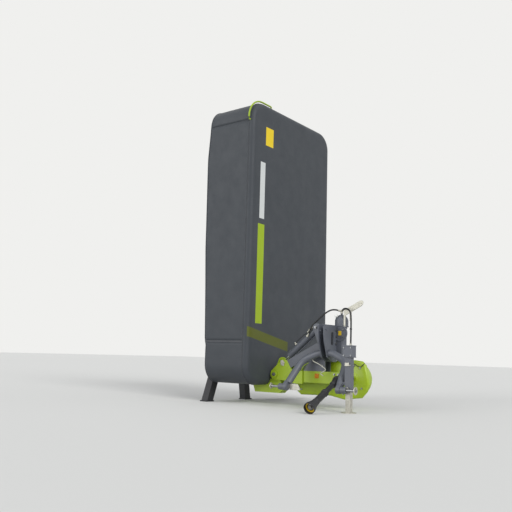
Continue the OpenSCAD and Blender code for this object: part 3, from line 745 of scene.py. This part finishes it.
# %% The skirts
# How far down each row of points lies. The second row and the last but one carry the stitches
SEAM_ROW, HEM_ROW = 1, -2
SKIRT_ROWS = [0, 0.022] + [k / 16 for k in range(1, 16)] + [0.965, 1]
SEAM_GAP = 0.3 * MM
SKIRT_RUMPLE, HELD_END = 7 * MM, 0.12
stitch_lines, hem_lines = [], []


def skirt(name, stretches, node):
    """A skirt along one or more stretches of the outline, each a list of its point numbers."""
    points, flat, faces = [], [], []
    length = 0.0
    for stretch in stretches:
        first = len(points)
        places = [on_outline(k, 0) for k in stretch]
        runs = [0.0]
        for a, b in zip(places, places[1:]):
            runs.append(runs[-1] + math.dist(a, b))
        for share in SKIRT_ROWS:
            for k, run in zip(stretch, runs):
                turn = math.radians(OUTLINE[k % len(OUTLINE)][2])
                held = min(1.0, share * 4) * min(1.0, min(run, runs[-1] - run) / HELD_END)
                push = held * rumple(run + length, share * 1.4 + 5, SKIRT_RUMPLE)
                x, z = on_outline(k, -push)
                depth = PIPING_Y - free_edge(z)
                points.append((x, PIPING_Y - SEAM_GAP - share * depth, z))
                flat.append((run + length, share * depth))
        width = len(stretch)
        faces += [(first + r * width + k, first + (r + 1) * width + k, first + (r + 1) * width + k + 1,
                   first + r * width + k + 1) for r in range(len(SKIRT_ROWS) - 1) for k in range(width - 1)]
        rows = [points[first + r * width:first + (r + 1) * width] for r in range(len(SKIRT_ROWS))]
        stitch_lines.append((rows[SEAM_ROW], stretch))
        stitch_lines.append((rows[HEM_ROW], stretch))
        hem_lines.append((rows[-1], stretch))
        length += runs[-1]
    piece = new_cloth(name, points, faces, plain_cloth)
    give_cloth_map(piece, flat)
    middle_face = piece.data.polygons[len(piece.data.polygons) // 2]
    outward = middle_face.center - Vector((centre_x, middle_face.center.y, centre_z))
    thicken(piece, CLOTH_T, middle_face.normal.dot(outward) > 0)
    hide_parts(node)
    drop = sum(v for u, v in flat) / len(flat) * 2
    return piece, length, drop


def outline_numbers(wanted):
    """Runs of neighbouring outline points for which wanted(x, z) is true, ends included."""
    count = len(OUTLINE)
    good = [wanted(*on_outline(k, 0)) for k in range(count)]
    start = next(k for k in range(count) if not good[k])
    runs, run = [], []
    for k in range(start, start + count + 1):
        if good[k % count]:
            run.append(k)
        elif run:
            runs.append(run)
            run = []
    return runs


near = 2 * MM
# The inner skirt is open between these places up to this height, where the hinge arm passes
OPEN_TOP = 0.4
open_low, open_high = hitch(-860, 0, 0).x, hitch(-110, 0, 0).x
SKIRTS = {
    "front_skirt": ("skirt_front", lambda x, z: x > centre_x and SEAM_Z - near < z < OUTER_Z + near),
    "rear_skirt": ("skirt_rear", lambda x, z: x < centre_x and SEAM_Z - near < z < OUTER_Z + near),
    "outer_skirt": ("skirt_outer", lambda x, z: z > OUTER_Z - near),
    "inner_skirt": ("skirt_inner", lambda x, z: z < SEAM_Z + near and not (
        open_low < x < open_high and z < OPEN_TOP)),
}
for name, (node, wanted) in SKIRTS.items():
    piece, length, drop = skirt(name, outline_numbers(wanted), node)
    print(name, "length", round(length, 3), "m, drop", round(drop, 3), "m")

# %% [markdown]
# ## Piping and hems
# A cord is sewn into the seam between the wide face and the skirts, and another into the hem of
# each free edge. Both are tubes swept along lines that the sheets were built on. A flat tape
# covers the seam between the inner skirt and each of its neighbours.

# %% Piping and hems
piping_cloth = moulded("piping_cord", "#3F4247", "#34373C", 0.5, 3, 0.3)


def pushed_out(points, numbers, out):
    """Moves a line of the cover outwards, square to the outline, by so many metres."""
    moved = []
    for (x, y, z), k in zip(points, numbers):
        turn = math.radians(OUTLINE[k % len(OUTLINE)][2])
        moved.append(Vector((x + out * math.cos(turn), y, z + out * math.sin(turn))))
    return moved


everywhere = range(len(OUTLINE))
seam_line = [(x, PIPING_Y, z) for x, z in (on_outline(k, 0) for k in everywhere)]
piping = new_piece("piping", tube(pushed_out(seam_line, everywhere, 1 * MM), 4 * MM, 8, True),
                   piping_cloth, "mower")
hems = new_piece("hems", gathered(*[tube(pushed_out(line, numbers, -2 * MM), 6 * MM, 8)
                                    for line, numbers in hem_lines]), piping_cloth, "mower")
# From and to which x each tape lies, in millimetres
TAPES = ((104, 108), (-1569, -1565))
tapes = [block((x0, -1408, 682), (x1, -856, 706)) for x0, x1 in TAPES]
new_piece("seam_tapes", gathered(*tapes), piping_cloth, "mower", 1)
print("piping and hems", len(piping.data.polygons) + len(hems.data.polygons), "faces")

# %% [markdown]
# ## Stitches
# A row of stitches runs beside the piping and beside each hem. Geometry Nodes suits them: a line
# of points becomes a curve, it is resampled at the stitch's pitch, and a little bar is set at
# each point, turned to the curve's tangent. Real stitches are 4 mm long and would vanish in the
# picture, so these are drawn 16 mm long. The result is kept as a plain mesh.

# %% Helpers for Geometry Nodes
def new_tree(name, inputs):
    """A Geometry Nodes tree with its geometry and the named inputs."""
    tree = bpy.data.node_groups.new(name, "GeometryNodeTree")
    tree.interface.new_socket("Geometry", in_out="INPUT", socket_type="NodeSocketGeometry")
    tree.interface.new_socket("Geometry", in_out="OUTPUT", socket_type="NodeSocketGeometry")
    for label, kind in inputs.items():
        tree.interface.new_socket(label, in_out="INPUT", socket_type="NodeSocket" + kind)
    return tree, add(tree, "NodeGroupInput").outputs


def end_tree(tree, instances, finish):
    """Makes the instances real, gives them their material and ends the tree."""
    real = add(tree, "GeometryNodeRealizeInstances", {"Geometry": instances})
    painted = add(tree, "GeometryNodeSetMaterial", {"Geometry": real.outputs[0], "Material": finish})
    add(tree, "NodeGroupOutput", {"Geometry": painted.outputs[0]})


def grown(name, tree, values, points, edges, body, facing=(), sizes=()):
    """Runs a tree over points and edges, and keeps the result as a plain mesh on a body."""
    start = bpy.data.meshes.new(name)
    start.from_pydata([tuple(p) for p in points], edges, [])
    if facing:
        ways = start.attributes.new("facing", "FLOAT_VECTOR", "POINT")
        for item, way in zip(ways.data, facing):
            item.vector = way
        across = start.attributes.new("size", "FLOAT", "POINT")
        for item, size in zip(across.data, sizes):
            item.value = size
    made = bpy.data.objects.new(name, start)
    scene.collection.objects.link(made)
    nodes = made.modifiers.new("nodes", "NODES")
    nodes.node_group = tree
    labels = {item.name: item.identifier for item in tree.interface.items_tree if item.in_out == "INPUT"}
    for label, value in values.items():
        nodes[labels[label]] = value
    made.data.update()
    evaluated = made.evaluated_get(bpy.context.evaluated_depsgraph_get())
    finished = bpy.data.meshes.new_from_object(evaluated)
    made.modifiers.clear()
    made.data = finished
    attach(made, body)
    return made


# %% Stitches
stitch_tree, given = new_tree("stitches", {"Pitch": "Float", "Length": "Float", "Width": "Float",
                                           "Finish": "Material"})
line = add(stitch_tree, "GeometryNodeMeshToCurve", {"Mesh": given["Geometry"]})
spaced = add(stitch_tree, "GeometryNodeResampleCurve", {"Curve": line.outputs[0], "Length": given["Pitch"]},
             mode="LENGTH")
half_width = add(stitch_tree, "ShaderNodeMath", {0: given["Width"], 1: 0.5}, operation="MULTIPLY")
bar = add(stitch_tree, "GeometryNodeMeshCylinder", {"Vertices": 6, "Radius": half_width.outputs[0],
                                                    "Depth": given["Length"]})
tangent = add(stitch_tree, "GeometryNodeInputTangent")
turn = add(stitch_tree, "FunctionNodeAlignRotationToVector", {"Vector": tangent.outputs[0]}, axis="Z")
placed = add(stitch_tree, "GeometryNodeInstanceOnPoints",
             {"Points": spaced.outputs[0], "Instance": bar.outputs[0], "Rotation": turn.outputs[0]})
end_tree(stitch_tree, placed.outputs[0], given["Finish"])

thread = moulded("polyester_thread", "#6A6E73", "#585C61", 0.6, 3, 0.2)
points, edges = [], []
for line_points, numbers in stitch_lines:
    first = len(points)
    points += pushed_out(line_points, numbers, 0.4 * MM)
    edges += [(k, k + 1) for k in range(first, len(points) - 1)]
stitches = grown("stitches", stitch_tree, {"Pitch": 26 * MM, "Length": 16 * MM, "Width": 2.4 * MM,
                                           "Finish": thread}, points, edges, "mower")
print("stitches", len(stitches.data.polygons), "faces")

# %% [markdown]
# ## The headstock's tubes and lugs
# Two bent tubes come square out of the mast, dip at a knee, turn forwards and down at an elbow
# and run straight to the lugs that hold the lower pins. Each is one tube bent cold, so it keeps
# its width round the bends: a ring swept along lines and quadratic bends gives just that. The
# lugs are flame-cut plates, with a round eye and an arm that lies along its tube.

# %% The headstock's tubes and lugs
TUBE_R = 38.5
KNEE = Vector((-275, 87, 590))
ELBOW = Vector((-238, 275, 508))
LUG = Vector((0, 326, 225))
# A lug's half thickness, its eye's radius, its arm's reach and half its arm's width
LUG_HALF, LUG_R, LUG_ARM, ARM_HALF = 24, 39, 62, 33
run = (ELBOW - KNEE).normalized()
rise = (ELBOW - LUG).normalized()
route = [Vector((KNEE.x, 42.5, KNEE.z))] + bend((KNEE.x, 55, KNEE.z), KNEE, KNEE + 42 * run, 4)
route += bend(ELBOW - 85 * run, ELBOW, ELBOW - 85 * rise, 9) + [LUG + 50 * rise]
lean = math.atan2(rise.z, rise.x)
eye = [(LUG_R * math.cos(lean + turn), LUG.z + LUG_R * math.sin(lean + turn))
       for turn in (math.radians(90 + 15 * k) for k in range(13))]
arm = [(LUG_ARM * math.cos(lean) - side * ARM_HALF * math.sin(lean),
        LUG.z + LUG_ARM * math.sin(lean) + side * ARM_HALF * math.cos(lean)) for side in (-1, 1)]
tubes, lugs = [], []
for side in (-1, 1):
    tubes.append(tube([hitch(p.x, side * p.y, p.z) for p in route], TUBE_R * MM, 28))
    lugs.append(plate(eye + arm, side * LUG.y - LUG_HALF, side * LUG.y + LUG_HALF, "y"))
    lugs.append(turned([(-LUG_HALF - 4, 30), (LUG_HALF + 4, 30)], hitch(0, side * LUG.y, LUG.z),
                       RIGHT, 32))
bent_tubes = new_piece("bent_tubes", gathered(*tubes), grey_coat, "headstock")
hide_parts("a_frame")
lug_plates = new_piece("lug_plates", gathered(*lugs), grey_coat, "headstock", 3)
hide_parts("lower_lugs")
print("tube length", round(sum((b - a).length for a, b in zip(route, route[1:]))), "mm")

# %% [markdown]
# ## The swivel's cap and the hose holder
# The swivel pin ends in a tall round cap, which is a turned shape with a small port on top. A
# round pressed plate stands on the mast beside it, dished so that its rim stands proud, with a
# plain yellow sticker in its middle. A bent galvanised arm beside the cap carries a hose clip.

# %% The swivel's cap and the hose holder
SWIVEL = Vector((-500, 60, 882.3))
CAP_R, CAP_STRAIGHT = 74, 62
profile = [(0, CAP_R + 6), (9, CAP_R + 6), (10, CAP_R), (CAP_STRAIGHT, CAP_R)]
profile += [(CAP_STRAIGHT + CAP_R * math.sin(turn), CAP_R * math.cos(turn))
            for turn in (math.radians(10 * k) for k in range(1, 9))]
profile += [(CAP_STRAIGHT + CAP_R, 12), (CAP_STRAIGHT + CAP_R + 22, 12)]
cap = new_piece("swivel_cap", gathered(
    turned(profile, hitch(*SWIVEL), UPWARDS, 48),
    turned([(0, 35), (336, 35)], hitch(SWIVEL.x, SWIVEL.y, 546), UPWARDS, 32),
    turned([(0, 46), (2, 48), (25, 48), (27.5, 46)], hitch(SWIVEL.x, SWIVEL.y, 532), UPWARDS, 32)),
    grey_coat, "headstock")
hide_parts("swivel_pin")

ROUND_PLATE = Vector((-430, 88, 812))
new_piece("round_plate", gathered(
    turned([(0, 86), (2, 88), (16, 88), (18, 86), (18, 79), (13, 75), (13, 30), (15, 28), (15, 1)],
           hitch(*ROUND_PLATE), FRONT, 48),
    block((-430, -42, 560), (-419, 110, 800))), grey_coat, "headstock", 1.5)
new_piece("plain_sticker", block((-415.2, 69, 788), (-414.4, 107, 836)), yellow_plastic, "headstock")
holder = new_piece("hose_holder", gathered(
    plate([(118, 882.5), (138, 882.5), (138, 1005), (191, 1032), (191, 945), (213, 945), (213, 1044),
           (332, 1104), (352, 1124), (358, 1148), (345, 1164), (318, 1164), (118, 1063)], -452, -440),
    turned([(-14, 7), (14, 7)], hitch(-446, 335, 1138), FRONT, 16)), zinc, "headstock", 2)
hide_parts("hose_carrier")
print("cap, round plate and hose holder")

# %% [markdown]
# ## The belt guard
# The belt runs in a hood of two parts. The front lid is pressed from sheet with clipped corners
# and a wide bevel all round, and the round housing behind it covers the two pulleys. Both are
# skins over rings: the same outline, drawn in step by step. Drawing an outline in means moving
# each side inwards and finding where neighbouring sides meet.

# %% The belt guard
# The lid's outline in Y and Z, anticlockwise, and the centres of the two pulleys
LID = [(-470, 121), (-81, 130), (93, 98), (305, 126), (370, 196), (398, 270), (354, 474), (312, 515),
       (225, 526), (-9, 515), (-144, 506), (-349, 472), (-388, 462), (-420, 432), (-530, 350), (-560, 270),
       (-535, 170)]
INPUT_PULLEY, OUTPUT_PULLEY = (200, 322), (-415, 262)


def drawn_in(outline, by):
    """The outline, which runs anticlockwise, with each side moved inwards."""
    drawn = []
    for before, here, after in zip(outline[-1:] + outline[:-1], outline, outline[1:] + outline[:1]):
        a, b = (Vector(here) - Vector(before)).normalized(), (Vector(after) - Vector(here)).normalized()
        inwards = Vector((-a.y - b.y, a.x + b.x)).normalized()
        drawn.append(Vector(here) + inwards * by / max(0.3, inwards.dot(Vector((-a.y, a.x)))))
    return [tuple(p) for p in drawn]


def two_circles(c1, r1, c2, r2, steps=20):
    """The outline round two circles, anticlockwise, the first circle being on the +Y side."""
    across = Vector(c2) - Vector(c1)
    base, turn = math.atan2(across.y, across.x), math.acos((r1 - r2) / across.length)
    points = []
    arcs = ((c1, r1, base + turn, base - turn + 2 * math.pi), (c2, r2, base - turn, base + turn))
    for (cy, cz), r, start, end in arcs:
        points += [(cy + r * math.cos(start + (end - start) * k / steps),
                    cz + r * math.sin(start + (end - start) * k / steps)) for k in range(steps + 1)]
    return points


def stacked(outlines):
    """A skin over outlines in Y and Z, each with its X."""
    return rings_joined([[hitch(x, y, z) for y, z in outline] for x, outline in outlines])


lid = stacked([(-538, LID), (-516, LID), (-500, drawn_in(LID, 10)), (-492, drawn_in(LID, 42))])
housing = stacked([(x, two_circles(INPUT_PULLEY, 180 + grow, OUTPUT_PULLEY, 122 + grow))
                   for x, grow in ((-538, 0), (-606, 0), (-617, -5), (-622, -18))])
bosses = [turned([(0, r - 10), (10, r - 6), (14, r)], hitch(-636, y, z), FRONT, 40)
          for (y, z), r in ((INPUT_PULLEY, 120), (OUTPUT_PULLEY, 78))]
hood = new_piece("guard_hood", gathered(
    lid, housing, *bosses, block((-493, -300, 290), (-460, -220, 370)),
    turned([(0, 70), (7, 70), (9, 66), (9, 40)], hitch(-493, 200, 328), FRONT, 40)),
    lime_plastic, "carrier", 3)
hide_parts("belt_guard")
seam = ((224, 487), (282, 457), (315, 458), (350, 496))
new_piece("guard_seam", tube([hitch(-491, y, z) for y, z in seam], 4 * MM, 8), black_plastic, "carrier")
print("belt guard", len(hood.data.polygons), "faces")

# %% [markdown]
# ## The drive shaft's guards
# The joint at each end turns inside a plastic bell, and the shaft between them in two tubes that
# slide in one another. They are turned shapes about the shaft's own line, which the record gives
# as the slide's direction. The front bell is open: inside show its yellow bearing ring and the
# steel end that fits the tractor.

# %% The drive shaft's guards
joints = {joint["name"]: joint for joint in frame["record"]["behaviour"]["joints"]}
shaft_from = Vector(joints["pto_tilt"]["pos_m"])
shaft_way = Vector(joints["pto_slide"]["axis"]).normalized()
across_way = Vector((0, 1, 0))
across_way = (across_way - across_way.dot(shaft_way) * shaft_way).normalized()


def on_shaft(profile, sides=40, closed=False):
    """A shape turned about the shaft's own line."""
    return turned(profile, shaft_from, shaft_way, sides, closed)


ribs = [(128 + 5 * k, 36 if k % 2 else 33) for k in range(7)]
rear_guard = new_piece("rear_shaft_guard", gathered(
    turned([(-23.5, 22), (23.5, 22)], shaft_from, across_way, 28),
    on_shaft([(18, 21), (60, 21)], 24),
    on_shaft([(36, 44), (36, 49), (60, 49), (64, 45), (128, 34)] + ribs + [(166, 27), (480, 27)])),
    black_plastic, "pto_rear")
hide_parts("pto_joint")
front_guard = new_piece("front_shaft_guard", on_shaft(
    [(330, 28), (330, 39), (354, 39), (358, 34), (540, 34), (546, 37), (552, 34), (558, 37), (565, 36),
     (640, 52), (656, 55), (660, 59), (690, 59), (690, 54), (646, 50), (644, 20)]),
    black_plastic, "pto_front")
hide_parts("pto_front")
new_piece("yellow_ring", on_shaft([(648, 49), (664, 49), (664, 38), (648, 38)], 36, True), yellow_plastic,
          "pto_front")
new_piece("front_yoke", gathered(on_shaft([(642, 19), (674, 19)], 24), on_shaft([(640, 30), (652, 30)], 24)),
          pin_steel, "pto_front")
print("drive shaft points", tuple(round(v, 3) for v in shaft_way))

# %% [markdown]
# ## Lower pins and jack
# A collar on each lower pin keeps the tractor's ball off the lug, and a round plate near the
# pin's tip keeps it on. A linch pin, a small pin with a spring ring, holds that plate. The jack's
# leg is held by a pin through its sleeve, and one hose starts from the box on top of the sleeve.
# A black strip lines the slot in the mast, and a small zinc plate stands inside the left lug.

# %% Lower pins
PIN_Z = 225
# How far out each pin has its shoulder, its keeper plate and its linch pin
SHOULDER_Y, KEEPER_Y, LINCH_Y = 350.5, 514, 524


def wire_ring(centre, across, rise, wire_r):
    """A closed ring of wire. Its two half axes are vectors in millimetres."""
    path = [hitch(*(Vector(centre) + math.sin(turn) * Vector(across) + math.cos(turn) * Vector(rise)))
            for turn in (math.pi * k / 8 for k in range(16))]
    return tube(path, wire_r * MM, 6, True)


collars, keepers = [], []
for side, keeper_r in ((1, 40), (-1, 30)):
    way_out = (0, side, 0)
    collars.append(turned([(0, 30), (3, 34), (56, 34), (61, 29)], hitch(0, side * SHOULDER_Y, PIN_Z),
                          way_out, 36))
    keepers.append(turned([(0, keeper_r - 1), (1, keeper_r), (5, keeper_r), (6, keeper_r - 1)],
                          hitch(0, side * KEEPER_Y, PIN_Z), way_out, 36))
    keepers.append(turned([(-20, 3.5), (18, 3.5), (22, 5), (26, 5)], hitch(0, side * LINCH_Y, PIN_Z),
                          UPWARDS, 12))
    keepers.append(wire_ring((0, side * LINCH_Y, PIN_Z + 18), (9, 0, 0), (0, 0, 18), 1.8))
new_piece("pin_collars", gathered(*collars), grey_coat, "headstock")
new_piece("pin_keepers", gathered(*keepers), zinc, "headstock")
print("lower pins at", PIN_Z, "mm")

# %% The jack's fittings and the mast's slot
JACK = Vector((-62, 410))
JACK_PIN_Z = 250
SLEEVE_HALF = 32.5
new_piece("jack_fittings", gathered(
    turned([(-54, 6), (54, 6)], hitch(JACK.x, JACK.y, JACK_PIN_Z), FRONT, 12),
    turned([(0, 10), (5, 10)], hitch(JACK.x + 48, JACK.y, JACK_PIN_Z), FRONT, 16),
    wire_ring((JACK.x + 52, JACK.y, JACK_PIN_Z - 14), (0, 22, 0), (0, 0, 20), 2.2)),
    zinc, "headstock")


def collar(half_x, half_y, low, high):
    """Four flat strips round the jack's sleeve, so the leg passes through them."""
    inner = SLEEVE_HALF
    strips = [(-half_x, -half_y, -inner, half_y), (inner, -half_y, half_x, half_y),
              (-inner, -half_y, inner, -inner), (-inner, inner, inner, half_y)]
    return [block((JACK.x + x0, JACK.y + y0, low), (JACK.x + x1, JACK.y + y1, high))
            for x0, y0, x1, y1 in strips]


new_piece("jack_flanges", gathered(
    *collar(40, 40, 215.5, 226), *collar(44, 56, 552, 559), block((-106, 354, 664), (-18, 466, 675)),
    block((-104, 349.5, 275), (-40, 376.5, 308))), grey_coat, "headstock", 2)
new_piece("jack_clip", gathered(
    block((-20.5, 385, 466), (-14, 432, 500)), block((-28, 377, 470), (-20, 443, 480))),
    zinc, "headstock", 1.5)

# The slot's x and y, its half width, and the heights of the centres of its two round ends
SLOT = Vector((-328, 45))
SLOT_R, SLOT_LOW, SLOT_HIGH = 15, 700, 800
rim = [hitch(SLOT.x + SLOT_R * math.cos(turn), SLOT.y, z + SLOT_R * math.sin(turn))
       for z, first in ((SLOT_HIGH, 0), (SLOT_LOW, 8))
       for turn in (math.pi * k / 8 for k in range(first, first + 9))]
new_piece("slot_rim", tube(rim, 4 * MM, 8, True), black_plastic, "headstock")
new_piece("left_lug_plate", plate([(-302, 193), (-170, 193), (-176, 225), (-200, 257), (-302, 257)],
                                  -46, -36), zinc, "headstock", 2)
print("jack, slot rim of", len(rim), "points and lug plate")

# %% [markdown]
# ## Small things on the hitch, the carrier and the cylinder
# A bent rod hook hangs from the left tube, to hold the drive shaft up while no tractor is
# there. A catch plate at the fork and a small grab rail complete the carrier. The lift cylinder
# has an oil port with a hex fitting. A valve at its top end and a pipe along its barrel lead to
# a second fitting near the rod.

# %% Hook, rail and catch plate
hook = smooth_path([(-262, -156, 524), (-262, -150, 502), (-262, -66, 467), (-262, 6, 415),
                    (-262, -54, 376), (-262, -22, 350)])
new_piece("shaft_hook", tube(hook, 5 * MM, 10), zinc, "headstock")
rail = smooth_path([(-372, -372, 396), (-374, -358, 432), (-376, -322, 462), (-376, -284, 478),
                    (-374, -262, 452), (-372, -256, 396)])
new_piece("grab_rail", tube(rail, 6 * MM, 10), lime_coat, "carrier")
new_piece("catch_plate", gathered(
    plate([(-618, 446), (-578, 436), (-568, 474), (-590, 502), (-622, 500)], -319.6, -309),
    turned([(0, 12), (9, 12)], hitch(-309, -594, 470), FRONT, 20)), zinc, "carrier", 2)
print("hook and rail", len(hook) + len(rail), "points")

# %% The lift cylinder's port, pipe and valve
LIFT_TOP = Vector((-400, -170, 872))
lift_way = Vector(joints["rod_slide"]["axis"])
lift_side = Vector((0, lift_way.z, -lift_way.y))
lift_side = lift_side if lift_side.z > 0 else -lift_side


def on_lift(along, out, front):
    """A point beside the lift cylinder: along it, out above it, and to the front, in millimetres."""
    return LIFT_TOP + Vector((front, 0, 0)) + along * lift_way + out * lift_side


# Where the hose's fitting leaves the port, and the way it is turned
FITTING = on_lift(152, 0, 51)
PORT_WAY = Vector((0, -0.42, -0.907))
new_piece("lift_port", gathered(
    turned([(34, 13), (62, 13), (64, 11)], hitch(*on_lift(152, 0, 0)), FRONT, 6),
    turned([(-36, 8), (-20, 8), (-20, 11), (0, 11)], hitch(*FITTING), PORT_WAY, 12)),
    zinc, "lift_barrel")
pipe = bend(on_lift(140, 50, 12), on_lift(168, 50, 12), on_lift(196, 58, 14))
pipe += bend(on_lift(300, 60, 14), on_lift(338, 60, 14), on_lift(346, 46, 12))
new_piece("lift_pipe", tube([hitch(*p) for p in pipe], 5 * MM, 10), black_plastic, "lift_barrel")
new_piece("lift_valve", gathered(
    turned([(0, 9), (4, 12), (52, 12), (56, 15), (92, 15), (96, 10), (120, 10)],
           hitch(*on_lift(24, 50, 12)), lift_way, 16),
    block(tuple(on_lift(96, 40, 2)), tuple(on_lift(68, 62, 26))),
    turned([(0, 14), (4, 15), (16, 15), (20, 9), (34, 9)], hitch(*on_lift(348, 34, 12)), lift_side, 6)),
    zinc, "lift_barrel", 1.5)
print("lift cylinder's way", tuple(round(v, 3) for v in lift_way))

# %% [markdown]
# ## Hoses
# Two hydraulic hoses, each 18 mm thick, are built as tubes along smooth curves through listed
# points. One comes up from the jack's box and bends over to the fitting on the cap. The
# other goes on from there to the cylinder. Both are stiff and short, so they stand in free
# arcs. The second one moves with the carrier, and doesn't bend as the cylinder turns a little.

# %% Hoses
HOSE_R = 9
PORT = (-500, 60, 1058)
SUPPLY = [(-62, 424, 675), (-61, 426, 760), (-66, 424, 860), (-100, 404, 946), (-180, 352, 1014),
          (-280, 276, 1052), (-368, 196, 1074), (-430, 130, 1078), (-466, 92, 1066)]
RETURN = [(-486, 28, 1064), (-472, -6, 1072), (-446, -50, 1066), (-416, -96, 1034), (-388, -138, 990),
          (-366, -180, 944), (-353, -224, 897), (-349, -252, 850), tuple(FITTING - 36 * PORT_WAY)]
hose_ends = new_piece("hose_ends", gathered(
    turned([(0, 12), (16, 12), (18, 10), (34, 10)], hitch(*SUPPLY[0]), UPWARDS, 6),
    turned([(0, 14), (40, 14)], hitch(PORT[0], PORT[1], 1032), UPWARDS, 6),
    turned([(0, 11), (48, 11)], hitch(*PORT), (34, 32, 8), 12),
    turned([(0, 11), (38, 11)], hitch(*PORT), (14, -32, 6), 12)), zinc, "headstock")


def hose(name, corners, body):
    """A hose through its corners."""
    path = smooth_path(corners)
    made = new_piece(name, tube(path, HOSE_R * MM, 12), hose_rubber, body)


hose("supply_hose", SUPPLY, "headstock")
hose("cylinder_hose", RETURN, "carrier")
new_piece("hose_clips", gathered(
    block((-462, 96, 1066), (-440, 122, 1076)),
    turned([(-9, 12), (9, 12)], hitch(-62, 425, 840), UPWARDS, 16)), black_plastic, "headstock",
    1.5)
white_plastic = moulded("white_polyamide", "#E4E5E2", "#D6D7D3", 0.4, 3, 0.2)
new_piece("white_cap", turned([(0, 17), (20, 19), (26, 17), (28, 12)], hitch(-446, 30, 1000),
                              (1, 0, 0.25), 24), white_plastic, "headstock")

# %% [markdown]
# ## Bolts
# Bolts repeat all over the machine, so one Geometry Nodes tree makes them. Each start point
# carries the way it faces and its size. On it goes a six-sided head on a round washer, turned to
# that way and scaled to that size. Each body gets its own bolts, because they move with it.

# %% The bolt tree
bolt_tree, given = new_tree("bolts", {"Head height": "Float", "Finish": "Material"})
head = add(bolt_tree, "GeometryNodeMeshCylinder", {"Vertices": 6, "Radius": 1.0,
                                                   "Depth": given["Head height"]})
raise_by = add(bolt_tree, "ShaderNodeMath", {0: given["Head height"], 1: 0.5, 2: 0.3},
               operation="MULTIPLY_ADD")
lift = add(bolt_tree, "ShaderNodeCombineXYZ", {"Z": raise_by.outputs[0]})
head_up = add(bolt_tree, "GeometryNodeTransform", {"Geometry": head.outputs["Mesh"],
                                                   "Translation": lift.outputs[0]})
washer = add(bolt_tree, "GeometryNodeMeshCylinder", {"Vertices": 14, "Radius": 1.3, "Depth": 0.6})
both_parts = add(bolt_tree, "GeometryNodeJoinGeometry")
for part in (head_up.outputs[0], washer.outputs["Mesh"]):
    bolt_tree.links.new(part, both_parts.inputs[0])
facing = add(bolt_tree, "GeometryNodeInputNamedAttribute", {"Name": "facing"}, data_type="FLOAT_VECTOR")
size = add(bolt_tree, "GeometryNodeInputNamedAttribute", {"Name": "size"}, data_type="FLOAT")
turn = add(bolt_tree, "FunctionNodeAlignRotationToVector", {"Vector": facing.outputs["Attribute"]},
           axis="Z")
placed = add(bolt_tree, "GeometryNodeInstanceOnPoints",
             {"Points": given["Geometry"], "Instance": both_parts.outputs[0], "Rotation": turn.outputs[0],
              "Scale": size.outputs["Attribute"]})
end_tree(bolt_tree, placed.outputs[0], given["Finish"])
print("bolt tree", len(bolt_tree.nodes), "nodes")

# %% Where the bolts sit
FOLD_PIN = (-705, 340)
LIFT_PIN = (LIFT_TOP.y, LIFT_TOP.z)
KNIFE_CIRCLE_R = 172


def round_about(radius, *degrees):
    """Steps from a centre to points on a circle round it."""
    return [(radius * math.cos(math.radians(d)), radius * math.sin(math.radians(d))) for d in degrees]


# Each bolt: x, y, z in millimetres, the way it faces, and the head's radius in millimetres
BOLTS = {"headstock": [], "carrier": [], "mower": []}
for z in (545, 700, 842):
    BOLTS["headstock"] += [(-405, 42, z, RIGHT, 11), (-405, -42, z, LEFT, 11)]
BOLTS["headstock"] += [(-21, y, z, FRONT, 7) for y in (370, 450) for z in (572, 650)]
BOLTS["headstock"] += [(-417, ROUND_PLATE.y + across, ROUND_PLATE.z + up_by, FRONT, 8)
                       for across, up_by in round_about(52, 45, 135, 225, 315)]
BOLTS["carrier"] += [(-492, y, z, FRONT, 8) for y, z in drawn_in(LID, 60)[::2]]
BOLTS["carrier"] += [(-340, y, z, FRONT, 9) for y in (-420, -360, 70, 120) for z in (290, 368)]
BOLTS["carrier"] += [(-303, *FOLD_PIN, FRONT, 16), (-497, *FOLD_PIN, BACK, 16), (-332, *LIFT_PIN, FRONT, 13),
                     (-468, *LIFT_PIN, BACK, 13), (-342, -80, 450, FRONT, 11), (-342, -80, 760, FRONT, 11)]
for z, way in ((285, DOWNWARDS), (3492, UPWARDS)):
    BOLTS["mower"] += [(x, y, z, way, 11) for x in (-560, -440) for y in (-1040, -1360)]
for i in range(1, 8):
    spin_at = Vector(joints[f"disc_{i}_spin"]["pos_m"])
    x, z = (spin_at.x - middle.x) / MM, spin_at.z / MM
    BOLTS["mower"] += [(-605, -1457, z + up_by, BACK, 9) for up_by in (-72, 72)]
    knives = round_about(KNIFE_CIRCLE_R, *((0, 180) if i % 2 else (90, 270)))
    BOLTS[f"disc_{i}"] = [(x + across, -1397, z + up_by, RIGHT, 13) for across, up_by in knives]
for body, spots in BOLTS.items():
    grown("bolts_" + body, bolt_tree, {"Head height": 1.1, "Finish": pin_steel},
          [hitch(*spot[:3]) for spot in spots], [], body, [spot[3] for spot in spots],
          [spot[4] * MM for spot in spots])
print("bolts", sum(len(spots) for spots in BOLTS.values()))

# %% The ends of the legs' pins
LEGS_X, LEGS_Z = (-135, -675), 328
pin_ends = [turned([(0, 16), (1.2, 16), (1.8, 14)], hitch(x, -1498, LEGS_Z), LEFT, 24) for x in LEGS_X]
new_piece("leg_pin_ends", gathered(*pin_ends), pin_steel, "mower")
print("leg pins", len(pin_ends))
